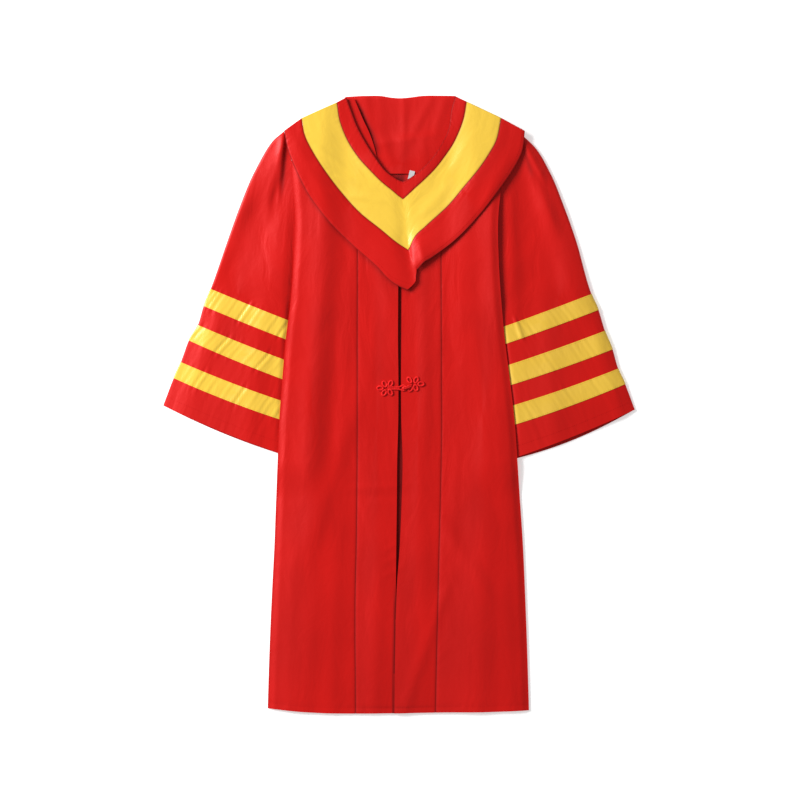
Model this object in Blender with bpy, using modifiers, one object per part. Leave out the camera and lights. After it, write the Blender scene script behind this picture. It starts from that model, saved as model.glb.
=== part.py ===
"""Graduation gown, laid flat on its back with the front up.

+Y runs from the hem to the neck, +X to the right as one looks down on it, and +Z up from the surface.
"Left" and "right" are the sides seen from above. Each piece of cloth is a thin wall over a plan: its
outline is read from the short tables below, and its height is that of what it lies on plus its own folds.
"""

import math

import bpy
import numpy as np
from mathutils import Vector

NAME = "graduation_gown"

# Cloth and cord, in metres
WALL = 0.0012
RIBBON_WALL = 0.0010
SEAM_GAP = 0.0003
COLLAR_SEAM_GAP = 0.0005
LAYER_GAP = 0.0005
CORD_RADIUS = 0.0013

# Heights, in metres, that lying on something else gives a piece
TUCK_LIFT = 0.0064
TUCK_FLAT = 0.045
TUCK_RAMP_END = 0.100
TUCK_END_Y = (-0.0993, -0.1707)
RIGHT_EDGE_LIFT = 0.004
RIGHT_EDGE_REACH = 0.05
LAP_LIFT = 0.0018
LAP_REACH = 0.045
LAP_START_Y = (-0.2511, -0.3314)
COLLAR_CLEARANCE = 0.0015
COLLAR_NECK_LIFT = 0.0035
COLLAR_TIP_LIFT = 0.005
COLLAR_EDGE_LIFT = 0.004
COLLAR_DROOP = 0.0055
CURL_REACH = 0.0038
CURL_END_HEIGHT = 0.0018
SLEEVE_FOLD_RADIUS = 0.0017
SLEEVE_RIBBON_LIFT = RIBBON_WALL + SEAM_GAP
SLEEVE_HEM_BOW = 0.005

# Where those heights fade in or out: metres of y or from the side, or shares of a piece's length or width
RIGHT_EDGE_LOW = (0.11, 0.19)
RIGHT_EDGE_HIGH = (0.43, 0.48)
HANGING_FADE = (1.25, 1.70)
FOLDS_SIDE_FADE = (0.0, 0.04)
FOLDS_TOP_FADE = (0.18, 0.26)
NECK_LIFT_ACROSS = (0.0, 0.3)
NECK_LIFT_ALONG = (0.7, 1.0)
TIP_LIFT_ACROSS = (0.5, 1.0)
TIP_LIFT_ALONG = (0.8, 1.0)
EDGE_LIFT_ACROSS = (0.7, 1.0)
EDGE_LIFT_ALONG = (0.2, 0.4)
DROOP_BESIDE_BODY = (0.004, 0.018)
CURL_FULL_ACROSS = (0.6, 1.0)
CURL_OUTER_FALL = 0.003
RIBBONS_START = (0.50, 0.64)
RIBBONS_END = (0.95, 1.00)
PLEATS_INNER_FADE = (0.74, 0.86)


def table(columns, *rows):
    """A short table, as one array for each named column."""
    return {name: np.array(values) for name, values in zip(columns.split(), zip(*rows))}


# Where the long edges of the body run, row by row from the shoulders to the hem
BODY = table(
    "y side_left seam_left edge_left edge_right seam_right side_right",
    (0.4811, -0.1860, -0.0739, -0.0011, 0.0050, 0.0750, 0.1800),
    (0.4204, -0.1914, -0.0739, -0.0011, 0.0050, 0.0750, 0.1854),
    (0.3829, -0.1889, -0.0739, -0.0011, 0.0050, 0.0750, 0.1814),
    (0.3382, -0.1854, -0.0739, -0.0011, 0.0050, 0.0750, 0.1768),
    (0.2579, -0.1880, -0.0741, -0.0012, 0.0048, 0.0750, 0.1773),
    (0.1864, -0.1929, -0.0741, -0.0016, 0.0045, 0.0754, 0.1818),
    (0.1150, -0.2018, -0.0743, -0.0018, 0.0041, 0.0757, 0.1886),
    (0.0436, -0.2079, -0.0743, -0.0011, 0.0036, 0.0759, 0.1975),
    (-0.0279, -0.2132, -0.0743, -0.0014, 0.0041, 0.0761, 0.2057),
    (-0.0993, -0.2161, -0.0745, -0.0032, 0.0064, 0.0754, 0.2109),
    (-0.1707, -0.2193, -0.0750, -0.0038, 0.0048, 0.0739, 0.2159),
    (-0.2511, -0.2223, -0.0761, -0.0048, 0.0014, 0.0718, 0.2212),
    (-0.3314, -0.2264, -0.0779, -0.0054, -0.0043, 0.0700, 0.2248),
    (-0.4118, -0.2300, -0.0784, -0.0043, -0.0068, 0.0680, 0.2279),
    (-0.4832, -0.2325, -0.0779, -0.0043, -0.0079, 0.0664, 0.2302),
    (-0.5511, -0.2345, -0.0775, -0.0043, -0.0087, 0.0652, 0.2321),
)
CHEST_Y = 0.3382
BODY_ROWS = BODY["y"][(BODY["y"] <= CHEST_Y) & (BODY["y"] > -0.5)]
TOP_SHARES = (0.0, 0.3, 0.6, 0.82)
SIDE_SHARES = np.array((0.0, 0.10, 0.25, 0.45, 0.70, 1.0))
CENTRE_SHARES = np.array((0.0, 0.30, 0.65, 1.0))
BACK_MIDDLE_SHARES = np.linspace(0.0, 1.0, 7)[1:-1]

HEM = table(
    "x y",
    (-0.2345, -0.5421),
    (-0.1714, -0.5484),
    (-0.0089, -0.5507),
    (0.0750, -0.5493),
    (0.1643, -0.5484),
    (0.2321, -0.5457),
)

# Shoulder line and neckline of the fronts, hidden under the collar
FRONT_TOP = table(
    "x y",
    (-0.1850, 0.4829),
    (-0.1071, 0.5204),
    (-0.0741, 0.4704),
    (-0.0500, 0.4329),
    (-0.0250, 0.4061),
    (0.0000, 0.3829),
    (0.0054, 0.3793),
    (0.0339, 0.4007),
    (0.0554, 0.4204),
    (0.0750, 0.4471),
    (0.1071, 0.5168),
    (0.1893, 0.4775),
)

BACK_TOP = table(
    "x y",
    (-0.1850, 0.4829),
    (-0.1018, 0.5221),
    (-0.0911, 0.4936),
    (-0.0750, 0.4596),
    (-0.0482, 0.4400),
    (0.0018, 0.4293),
    (0.0518, 0.4400),
    (0.0750, 0.4543),
    (0.0946, 0.4900),
    (0.1036, 0.5221),
    (0.1929, 0.4775),
)

# Sleeves, from the armhole to the hem: the outer fold, and the inner fold hidden under the body
SLEEVE_LEFT = table(
    "along outer_x outer_y inner_x inner_y",
    (0.00, -0.2054, 0.4873, -0.1554, 0.2936),
    (0.08, -0.2265, 0.4686, -0.1536, 0.2543),
    (0.20, -0.2580, 0.4150, -0.1536, 0.2186),
    (0.35, -0.2857, 0.3489, -0.1554, 0.1864),
    (0.50, -0.3080, 0.2864, -0.1571, 0.1614),
    (0.66, -0.3361, 0.2061, -0.1607, 0.1357),
    (0.72, -0.3486, 0.1757, -0.1643, 0.1018),
    (0.78, -0.3589, 0.1418, -0.1688, 0.0666),
    (0.84, -0.3750, 0.1143, -0.1714, 0.0316),
    (0.90, -0.3893, 0.0757, -0.1750, -0.0046),
    (0.95, -0.4021, 0.0471, -0.1768, -0.0380),
    (1.00, -0.4209, -0.0018, -0.1804, -0.0977),
)
SLEEVE_RIGHT = table(
    "along outer_x outer_y inner_x inner_y",
    (0.00, 0.2161, 0.4846, 0.1500, 0.3007),
    (0.08, 0.2429, 0.4587, 0.1482, 0.2614),
    (0.20, 0.2696, 0.4141, 0.1464, 0.2221),
    (0.35, 0.2929, 0.3579, 0.1446, 0.1864),
    (0.50, 0.3170, 0.2900, 0.1464, 0.1525),
    (0.66, 0.3436, 0.1971, 0.1495, 0.1254),
    (0.72, 0.3561, 0.1686, 0.1536, 0.0955),
    (0.78, 0.3675, 0.1316, 0.1580, 0.0584),
    (0.84, 0.3811, 0.0984, 0.1634, 0.0236),
    (0.90, 0.3911, 0.0641, 0.1670, -0.0123),
    (0.95, 0.4036, 0.0364, 0.1714, -0.0463),
    (1.00, 0.4209, -0.0091, 0.1777, -0.1041),
)
RIBBON_ROWS = {1: (5, 6), 2: (7, 8), 3: (9, 10)}
UPPER_SHARES = (0.07, 0.16, 0.28, 0.41, 0.55, 0.69, 0.82, 0.92)
UNDER_SHARES = (0.88, 0.64, 0.38, 0.14)
FOLD_ANGLES = np.radians((-90.0, -45.0, 0.0, 45.0, 90.0))

# Collar arms, from the shoulder to the centre seam: the four edges between border, band and border
COLLAR_LEFT = table(
    "along neck_x neck_y inner_x inner_y outer_x outer_y edge_x edge_y",
    (0.00, -0.0938, 0.5463, -0.1107, 0.5373, -0.1732, 0.5088, -0.2045, 0.4864),
    (0.15, -0.0866, 0.5257, -0.1054, 0.5043, -0.1670, 0.4775, -0.1964, 0.4489),
    (0.30, -0.0750, 0.4954, -0.0920, 0.4704, -0.1509, 0.4454, -0.1795, 0.4079),
    (0.45, -0.0598, 0.4668, -0.0732, 0.4409, -0.1286, 0.4114, -0.1554, 0.3641),
    (0.60, -0.0420, 0.4391, -0.0527, 0.4180, -0.1009, 0.3757, -0.1214, 0.3212),
    (0.75, -0.0250, 0.4168, -0.0304, 0.3957, -0.0679, 0.3400, -0.0813, 0.2820),
    (0.88, -0.0098, 0.4052, -0.0116, 0.3805, -0.0304, 0.3100, -0.0393, 0.2448),
    (0.95, -0.0009, 0.3998, -0.0014, 0.3718, -0.0036, 0.2882, -0.0107, 0.2168),
    (1.00, 0.0064, 0.3971, 0.0071, 0.3657, 0.0166, 0.2752, 0.0196, 0.2038),
)
COLLAR_RIGHT = table(
    "along neck_x neck_y inner_x inner_y outer_x outer_y edge_x edge_y",
    (0.00, 0.1000, 0.5480, 0.1205, 0.5382, 0.1813, 0.5096, 0.2241, 0.4864),
    (0.15, 0.0932, 0.5239, 0.1139, 0.5043, 0.1738, 0.4730, 0.2188, 0.4498),
    (0.30, 0.0893, 0.4936, 0.0991, 0.4686, 0.1616, 0.4489, 0.2009, 0.4150),
    (0.45, 0.0795, 0.4704, 0.0830, 0.4436, 0.1420, 0.4195, 0.1741, 0.3766),
    (0.60, 0.0643, 0.4454, 0.0646, 0.4198, 0.1161, 0.3882, 0.1402, 0.3337),
    (0.75, 0.0455, 0.4239, 0.0461, 0.4011, 0.0848, 0.3516, 0.0991, 0.2918),
    (0.88, 0.0277, 0.4088, 0.0271, 0.3837, 0.0464, 0.3164, 0.0571, 0.2605),
    (0.95, 0.0152, 0.4007, 0.0157, 0.3730, 0.0277, 0.2980, 0.0429, 0.2516),
    (1.00, 0.0067, 0.3971, 0.0074, 0.3657, 0.0169, 0.2752, 0.0321, 0.2391),
)
TIP_BOW = 0.0100
CURL_ANGLES = np.radians((90.0, 60.0, 30.0))
STRIPS = {
    "collar_inner_border": ("neck", "inner", 0.0, 0.2),
    "collar_band": ("inner", "outer", 0.2, 0.6),
    "collar_outer_border": ("outer", "edge", 0.6, 1.0),
}
STRIP_COLUMNS = {"collar_inner_border": 3, "collar_band": 3, "collar_outer_border": 4}

# The collar's back is one piece: it shows inside the neck, folds over the top edge and hangs behind
NECK_LAYER = table(
    "y left right height",
    (0.4114, -0.0176, 0.0304, 0.0055),
    (0.4257, -0.0390, 0.0518, 0.0055),
    (0.4436, -0.0550, 0.0700, 0.0055),
    (0.4632, -0.0675, 0.0800, 0.0055),
    (0.4864, -0.0790, 0.0870, 0.0034),
    (0.5114, -0.0870, 0.0985, 0.0030),
    (0.5329, -0.0925, 0.0990, 0.0034),
)
HANGING_LAYER = table(
    "y left right",
    (0.5329, -0.1232, 0.1339),
    (0.5168, -0.1500, 0.1620),
    (0.4936, -0.1750, 0.1850),
    (0.4632, -0.1800, 0.1850),
    (0.4186, -0.1700, 0.1720),
    (0.3739, -0.1450, 0.1480),
    (0.3382, -0.1040, 0.1080),
    (0.3079, -0.0480, 0.0550),
)
TOP_FOLD = {"y": 0.5436, "left": -0.0915, "right": 0.0980, "reach": 0.0071, "height": 0.0040}
HANGING_CENTRE = (0.003, 0.490)
HANGING_HALF_SIZE = (0.185, 0.190)
COLLAR_BACK_SHARES = np.linspace(0.0, 1.0, 9)
NECK_RIGHT_RISE = 0.0015
NECK_RIGHT_FADE = (0.7, 1.0)
GATHER_HEIGHT = 0.0006
GATHERS = 5
GATHERED_BELOW = 0.005

NECK_FACING = table(
    "y left right",
    (0.5370, -0.0940, -0.0765),
    (0.5068, -0.0838, -0.0636),
    (0.4836, -0.0735, -0.0527),
    (0.4561, -0.0575, -0.0434),
    (0.4471, -0.0515, -0.0430),
)
NECK_FACING_HEIGHTS = (0.0074, 0.0062)

LABEL_CENTRE = (0.0220, 0.4085)
LABEL_SIZE = (0.0095, 0.0160)
LABEL_TURN = math.radians(-14)
LABEL_HEIGHT = 0.0031

# Soft folds of the fronts: a ridge from (x1, y1) to (x2, y2)
FRONT_FOLDS = table(
    "x1 y1 x2 y2 half_width height",
    (-0.135, 0.200, -0.130, -0.080, 0.022, 0.0012),
    (-0.109, -0.190, -0.180, -0.430, 0.030, 0.0022),
    (-0.040, -0.080, -0.048, -0.260, 0.018, 0.0012),
    (0.036, -0.090, 0.040, -0.300, 0.018, 0.0014),
    (0.125, 0.220, 0.140, -0.160, 0.024, 0.0014),
    (0.130, -0.330, 0.175, -0.500, 0.030, 0.0022),
)

# Pleats of the sleeves: ridges that start at the armhole, as shares of the upper layer's width and length
SLEEVE_FOLDS = {
    "left": table(
        "across1 along1 across2 along2 half_width height",
        (0.10, 0.02, 0.30, 0.30, 0.07, 0.0035),
        (0.42, 0.05, 0.62, 0.55, 0.12, 0.0030),
        (0.28, 0.70, 0.36, 1.00, 0.14, 0.0012),
    ),
    "right": table(
        "across1 along1 across2 along2 half_width height",
        (0.08, 0.02, 0.14, 0.45, 0.07, 0.0030),
        (0.30, 0.02, 0.42, 0.38, 0.08, 0.0040),
        (0.30, 0.62, 0.34, 1.00, 0.16, 0.0012),
    ),
}

# The knot closure, as centres of its cord loops on the fronts
PETAL_RADIUS = 0.0043
LOOP_PETALS = ((-0.0332, 0.0291), (-0.0259, 0.0359), (-0.0164, 0.0362), (-0.0272, 0.0207), (-0.0172, 0.0222))
KNOB_PETALS = ((0.0393, 0.0364), (0.0304, 0.0427), (0.0204, 0.0423), (0.0314, 0.0303), (0.0214, 0.0293))
KNOB_CENTRE = (0.0088, 0.0295)
KNOB_RADIUS = 0.0030
KNOB_RISE = 0.0018
RING_RADIUS = 0.0045
BAR_RADIUS = 0.0017
BAR_RISE = 0.0006
KNOB_BAR_RADIUS = 0.0013
KNOB_BAR_CLEARANCE = 0.0002
CORD_SIDES = 8
RING_SIDES = 12

RED = (0.72, 0.018, 0.020, 1.0)
YELLOW = (0.95, 0.63, 0.085, 1.0)
WHITE = (0.85, 0.84, 0.82, 1.0)
SATIN_ROUGHNESS = 0.42
CORD_ROUGHNESS = 0.60


def ease(start, end, value):
    """0 before start, 1 after end, and a smooth step between them."""
    share = np.clip((np.asarray(value) - start) / (end - start), 0.0, 1.0)
    return share * share * (3.0 - 2.0 * share)


def along(rows, key, name, at):
    """The named column of a table, read straight between its rows."""
    order = np.argsort(rows[key])
    return np.interp(at, rows[key][order], rows[name][order])


def body_edge(name, y):
    return along(BODY, "y", name, y)


def ridge(px, py, qx, qy, half_width, x, y):
    """A soft ridge from p to q: 1 on that line, and fading out to its sides and past its ends."""
    length = math.hypot(qx - px, qy - py)
    ux = (qx - px) / length
    uy = (qy - py) / length
    forward = (x - px) * ux + (y - py) * uy
    beside = (x - px) * uy - (y - py) * ux
    past_end = np.maximum(np.maximum(-forward, forward - length), 0.0)
    return np.exp(-(beside**2 + past_end**2) / half_width**2)


def hanging_lift(x, y):
    """How far the collar's hanging back raises what lies on it."""
    across = (x - HANGING_CENTRE[0]) / HANGING_HALF_SIZE[0]
    down = (y - HANGING_CENTRE[1]) / HANGING_HALF_SIZE[1]
    return (WALL + SEAM_GAP) * (1.0 - ease(*HANGING_FADE, np.hypot(across, down)))


def back_underside(x, y):
    """Height of the back's underside: flat on the surface, and raised over the collar and sleeves."""
    from_left = x - body_edge("side_left", y)
    from_right = body_edge("side_right", y) - x
    beside_sleeve = 1.0 - ease(TUCK_FLAT, TUCK_RAMP_END, np.minimum(from_left, from_right))
    over_sleeve = 1.0 - ease(-TUCK_END_Y[0], -TUCK_END_Y[1], -y)
    right_edge = 1.0 - ease(0.0, RIGHT_EDGE_REACH, from_right)
    right_part = ease(*RIGHT_EDGE_LOW, y) * (1.0 - ease(*RIGHT_EDGE_HIGH, y))
    tucked = TUCK_LIFT * beside_sleeve * over_sleeve
    return hanging_lift(x, y) + tucked + RIGHT_EDGE_LIFT * right_edge * right_part


def front_swell(x, y):
    """The fronts' soft folds, which die out at the side edges and under the collar."""
    height = np.zeros_like(x)
    for x1, y1, x2, y2, half_width, top in zip(*FRONT_FOLDS.values()):
        height = height + top * ridge(x1, y1, x2, y2, half_width, x, y)
    from_side = np.minimum(x - body_edge("side_left", y), body_edge("side_right", y) - x)
    return height * ease(*FOLDS_SIDE_FADE, from_side) * (1.0 - ease(*FOLDS_TOP_FADE, y))


def front_underside(x, y):
    return back_underside(x, y) + WALL + LAYER_GAP + front_swell(x, y)


def collar_underside(x, y, share, across):
    """Height of a collar arm: it lies on the fronts, lifts at neck, tip and right edge, and droops at the sleeve."""
    outside = np.maximum(body_edge("side_left", y) - x, x - body_edge("side_right", y))
    height = front_underside(x, y) + WALL + COLLAR_CLEARANCE
    neck = (1.0 - ease(*NECK_LIFT_ACROSS, across)) * (1.0 - ease(*NECK_LIFT_ALONG, share))
    tip = ease(*TIP_LIFT_ACROSS, across) * ease(*TIP_LIFT_ALONG, share)
    right_edge = ease(*EDGE_LIFT_ACROSS, across) * ease(*EDGE_LIFT_ALONG, share) * (x > 0)
    droop = ease(*DROOP_BESIDE_BODY, outside)
    height = height + COLLAR_NECK_LIFT * neck + COLLAR_TIP_LIFT * tip
    return height + COLLAR_EDGE_LIFT * right_edge - COLLAR_DROOP * droop


def plain_material(name, colour, roughness):
    material = bpy.data.materials.new(name)
    material.use_nodes = True
    shader = material.node_tree.nodes["Principled BSDF"]
    shader.inputs["Base Color"].default_value = colour
    shader.inputs["Roughness"].default_value = roughness
    shader.inputs["Metallic"].default_value = 0.0
    return material


def add_object(name, mesh, colour, roughness=SATIN_ROUGHNESS):
    """An object of the gown, with its own material."""
    part = bpy.data.objects.new(name, mesh)
    bpy.data.collections[NAME].objects.link(part)
    part.data.materials.append(plain_material(name, colour, roughness))
    return part


def grid_faces(rows, columns, closed, flip):
    """Four-sided faces between neighbouring points of a grid, row by row."""
    last = columns if closed else columns - 1
    faces = []
    for row in range(rows - 1):
        for column in range(last):
            beside = (column + 1) % columns
            corners = (
                row * columns + column,
                (row + 1) * columns + column,
                (row + 1) * columns + beside,
                row * columns + beside,
            )
            faces.append(corners[::-1] if flip else corners)
    return faces


def cloth(name, points, colour, wall=WALL, closed=False, flip=False, inward=False):
    """A cloth wall over a grid of points, which are one face of it; Solidify gives the other."""
    rows, columns, _ = points.shape
    mesh = bpy.data.meshes.new(name)
    mesh.from_pydata(points.reshape(-1, 3).tolist(), [], grid_faces(rows, columns, closed, flip))
    mesh.shade_smooth()
    part = add_object(name, mesh, colour)
    solidify = part.modifiers.new("wall", "SOLIDIFY")
    solidify.thickness = wall
    solidify.offset = -1.0 if inward else 1.0
    return part


def panel_plan(left, right, shares, top):
    """Plan of a body panel between two edges, from its own top edge down to the hem."""
    def x_at(y):
        return left(y) + (right(y) - left(y)) * shares

    chest = x_at(np.full(len(shares), CHEST_Y))
    top_y = np.interp(chest, top["x"], top["y"])
    rows = [top_y + (CHEST_Y - top_y) * share for share in TOP_SHARES]
    rows += [np.full(len(shares), y) for y in BODY_ROWS]
    lowest = x_at(np.full(len(shares), BODY["y"][-1]))
    rows.append(np.interp(lowest, HEM["x"], HEM["y"]))
    y = np.array(rows)
    return np.array([x_at(row) for row in rows]), y


def edge(name, shift=0.0):
    return lambda y: body_edge(name, y) + shift


def make_back():
    """One panel; across, its points stand closest over the sleeves, as those of the front sides do."""
    left = panel_plan(edge("side_left"), edge("seam_left"), SIDE_SHARES, BACK_TOP)
    middle = panel_plan(edge("seam_left"), edge("seam_right"), BACK_MIDDLE_SHARES, BACK_TOP)
    right = panel_plan(edge("seam_right"), edge("side_right"), 1.0 - SIDE_SHARES[::-1], BACK_TOP)
    x, y = np.concatenate((left, middle, right), axis=2)
    cloth("back", np.stack((x, y, back_underside(x, y)), axis=-1), RED)


def make_fronts():
    half = SEAM_GAP / 2
    panels = {
        "front_side_left": (edge("side_left"), edge("seam_left", -half), SIDE_SHARES),
        "front_centre_left": (edge("seam_left", half), edge("edge_left"), CENTRE_SHARES),
        "front_centre_right": (edge("edge_right"), edge("seam_right", -half), CENTRE_SHARES),
        "front_side_right": (edge("seam_right", half), edge("side_right"), 1.0 - SIDE_SHARES[::-1]),
    }
    for name, (left, right, shares) in panels.items():
        x, y = panel_plan(left, right, shares, FRONT_TOP)
        z = front_underside(x, y)
        if name == "front_centre_right":
            near_edge = 1.0 - ease(0.0, LAP_REACH, x - left(y))
            z = z + LAP_LIFT * near_edge * ease(-LAP_START_Y[0], -LAP_START_Y[1], -y)
        cloth(name, np.stack((x, y, z), axis=-1), RED)


def sleeve_points(rows, folds):
    """Outer face of a flattened tube: outer fold, upper layer, inner fold and back under it."""
    outer = np.stack((rows["outer_x"], rows["outer_y"]), axis=-1)
    inner = np.stack((rows["inner_x"], rows["inner_y"]), axis=-1)
    width = np.linalg.norm(inner - outer, axis=1)
    radius = SLEEVE_FOLD_RADIUS
    at_ribbons = ease(*RIBBONS_START, rows["along"]) * (1.0 - ease(*RIBBONS_END, rows["along"]))
    lower = SLEEVE_RIBBON_LIFT * at_ribbons
    under_height = np.zeros(len(UNDER_SHARES))
    grid = []
    for row, across in enumerate(inner - outer):
        fold = radius * (1.0 - np.cos(FOLD_ANGLES)) / width[row]
        fold_height = radius * (1.0 + np.sin(FOLD_ANGLES))
        upper = np.array(UPPER_SHARES)
        puff = np.zeros(len(upper))
        for a1, l1, a2, l2, half_width, top in zip(*folds.values()):
            puff = puff + top * ridge(a1, l1, a2, l2, half_width, upper, rows["along"][row])
        puff = puff * (1.0 - ease(*PLEATS_INNER_FADE, upper))
        shares = np.concatenate((fold, upper, 1.0 - fold[::-1], UNDER_SHARES))
        height = np.concatenate((fold_height, 2 * radius + puff, fold_height[::-1], under_height))
        plan = outer[row] + shares[:, None] * across
        plan[:, 1] -= SLEEVE_HEM_BOW * rows["along"][row] ** 4 * 4.0 * shares * (1.0 - shares)
        grid.append(np.column_stack((plan, lower[row] + height)))
    return np.array(grid)


def grid_normals(points):
    """Unit normals of a grid that is closed across its columns."""
    down = np.gradient(points, axis=0)
    around = np.roll(points, -1, axis=1) - np.roll(points, 1, axis=1)
    normal = np.cross(down, around)
    return normal / np.linalg.norm(normal, axis=2, keepdims=True)


def make_sleeves():
    for side, rows in (("left", SLEEVE_LEFT), ("right", SLEEVE_RIGHT)):
        flip = side == "right"
        points = sleeve_points(rows, SLEEVE_FOLDS[side])
        cloth(f"sleeve_{side}", points, RED, closed=True, flip=flip, inward=True)
        outward = -grid_normals(points) if flip else grid_normals(points)
        for number, (first, last) in RIBBON_ROWS.items():
            ring = (points + SEAM_GAP * outward)[first : last + 1]
            cloth(f"ribbon_{side}_{number}", ring, YELLOW, wall=RIBBON_WALL, closed=True, flip=flip)


def arm_line(rows, name):
    return np.stack((rows[f"{name}_x"], rows[f"{name}_y"]), axis=-1)


def make_collar_arms():
    """Three strips a side, from a curl over the shoulder edge to the centre seam."""
    for side, rows, sign in (("left", COLLAR_LEFT, -1.0), ("right", COLLAR_RIGHT, 1.0)):
        shoulder = arm_line(rows, "edge")[0] - arm_line(rows, "neck")[0]
        outward = np.array((-shoulder[1], shoulder[0])) * -sign
        outward = outward / np.linalg.norm(outward)
        share = np.concatenate((np.zeros(len(CURL_ANGLES)), rows["along"]))[:, None]
        for name, (first, second, across_first, across_second) in STRIPS.items():
            steps = np.linspace(0.0, 1.0, STRIP_COLUMNS[name])
            start = arm_line(rows, first)[:, None, :]
            end = arm_line(rows, second)[:, None, :]
            width = np.linalg.norm(end - start, axis=2, keepdims=True)
            inset = COLLAR_SEAM_GAP / 2 / width * (1.0 - 2.0 * steps[None, :, None])
            plan = start + (end - start) * (steps[None, :, None] + inset)
            if name == "collar_outer_border" and side == "left":
                plan[-1, :, 0] += TIP_BOW * np.sin(math.pi * steps)
            curl = np.array([plan[0] + outward * CURL_REACH * math.sin(angle) for angle in CURL_ANGLES])
            across = across_first + (across_second - across_first) * steps[None, :]
            at_edge = collar_underside(plan[:1, :, 0], plan[:1, :, 1], 0.0, across)
            shorter = at_edge - CURL_END_HEIGHT - CURL_OUTER_FALL
            lowest = CURL_END_HEIGHT + shorter * ease(*CURL_FULL_ACROSS, across)
            fall = (at_edge - lowest) * (1.0 - np.cos(CURL_ANGLES))[:, None]
            rest = collar_underside(plan[:, :, 0], plan[:, :, 1], share[len(CURL_ANGLES) :], across)
            z = np.concatenate((at_edge - fall, rest))
            xy = np.concatenate((curl, plan))
            points = np.concatenate((xy, z[:, :, None]), axis=2)
            colour = YELLOW if name == "collar_band" else RED
            cloth(f"{name}_{side}", points, colour, flip=side == "left")


def make_collar_back():
    """Rows from the lower edge inside the neck, up over the top fold, and down the hanging back."""
    shares = COLLAR_BACK_SHARES

    def row(left, right, y, heights):
        x = left + (right - left) * shares
        return np.column_stack((x, np.full_like(x, y), np.full_like(x, heights)))

    right_rise = NECK_RIGHT_RISE * ease(*NECK_RIGHT_FADE, shares)
    gathers = GATHER_HEIGHT * np.sin(math.pi * GATHERS * shares) ** 2
    rows = []
    for y, left, right, height in zip(*NECK_LAYER.values()):
        rise = (right_rise + gathers) * (height < GATHERED_BELOW)
        rows.append(row(left, right, y, height + rise))
    for angle in FOLD_ANGLES[::-1]:
        y = TOP_FOLD["y"] + TOP_FOLD["reach"] * math.cos(angle)
        z = TOP_FOLD["height"] / 2 * (1.0 + math.sin(angle))
        rows.append(row(TOP_FOLD["left"], TOP_FOLD["right"], y, z))
    rows += [row(left, right, y, 0.0) for y, left, right in zip(*HANGING_LAYER.values())]
    cloth("collar_back", np.array(rows), RED, flip=True, inward=True)


def make_neck_facing():
    shares = np.array((0.0, 0.5, 1.0))
    heights = NECK_FACING_HEIGHTS[0] + (NECK_FACING_HEIGHTS[1] - NECK_FACING_HEIGHTS[0]) * shares
    rows = []
    for y, left, right in zip(*NECK_FACING.values()):
        rows.append(np.column_stack((left + (right - left) * shares, np.full(3, y), heights)))
    cloth("neck_facing_left", np.array(rows), RED)


def make_label():
    corners = []
    for v in (0.5, -0.5):
        for u in (-0.5, 0.5):
            x = u * LABEL_SIZE[0]
            y = v * LABEL_SIZE[1]
            turned_x = x * math.cos(LABEL_TURN) - y * math.sin(LABEL_TURN)
            turned_y = x * math.sin(LABEL_TURN) + y * math.cos(LABEL_TURN)
            corners.append((LABEL_CENTRE[0] + turned_x, LABEL_CENTRE[1] + turned_y, LABEL_HEIGHT))
    cloth("neck_label", np.array(corners).reshape(2, 2, 3), WHITE, wall=RIBBON_WALL)


def cord_height(x, y):
    """Height of the middle of a cord that lies on the fronts."""
    return float(front_underside(np.array(x), np.array(y))) + WALL + SEAM_GAP + CORD_RADIUS


def cord_ring(centre, radius):
    """A ring of cord, as a mesh object."""
    bpy.ops.mesh.primitive_torus_add(
        location=centre,
        major_radius=radius,
        minor_radius=CORD_RADIUS,
        major_segments=RING_SIDES,
        minor_segments=CORD_SIDES,
    )
    return bpy.context.object


def cord_bar(start, end, radius):
    """A straight, thick stretch of cord between two points, as a mesh object."""
    direction = Vector(end) - Vector(start)
    bpy.ops.mesh.primitive_cylinder_add(
        vertices=CORD_SIDES,
        radius=radius,
        depth=direction.length,
        location=(Vector(start) + Vector(end)) / 2,
        rotation=direction.to_track_quat("Z", "X").to_euler(),
    )
    return bpy.context.object


def knob(centre):
    bpy.ops.mesh.primitive_uv_sphere_add(
        segments=RING_SIDES, ring_count=CORD_SIDES, radius=KNOB_RADIUS, location=centre
    )
    return bpy.context.object


def join_by_union(name, shapes, colour, roughness):
    """One closed body from shapes that overlap."""
    first, *others = shapes
    union = first.modifiers.new("union", "BOOLEAN")
    cutters = bpy.data.collections.new(f"{name}_shapes")
    for other in others:
        for old in other.users_collection:
            old.objects.unlink(other)
        cutters.objects.link(other)
    union.operation = "UNION"
    union.operand_type = "COLLECTION"
    union.collection = cutters
    graph = bpy.context.evaluated_depsgraph_get()
    mesh = bpy.data.meshes.new_from_object(first.evaluated_get(graph))
    mesh.transform(first.matrix_world)
    mesh.name = name
    for shape in shapes:
        bpy.data.objects.remove(shape)
    bpy.data.collections.remove(cutters)
    mesh.materials.clear()
    add_object(name, mesh, colour, roughness)


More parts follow.
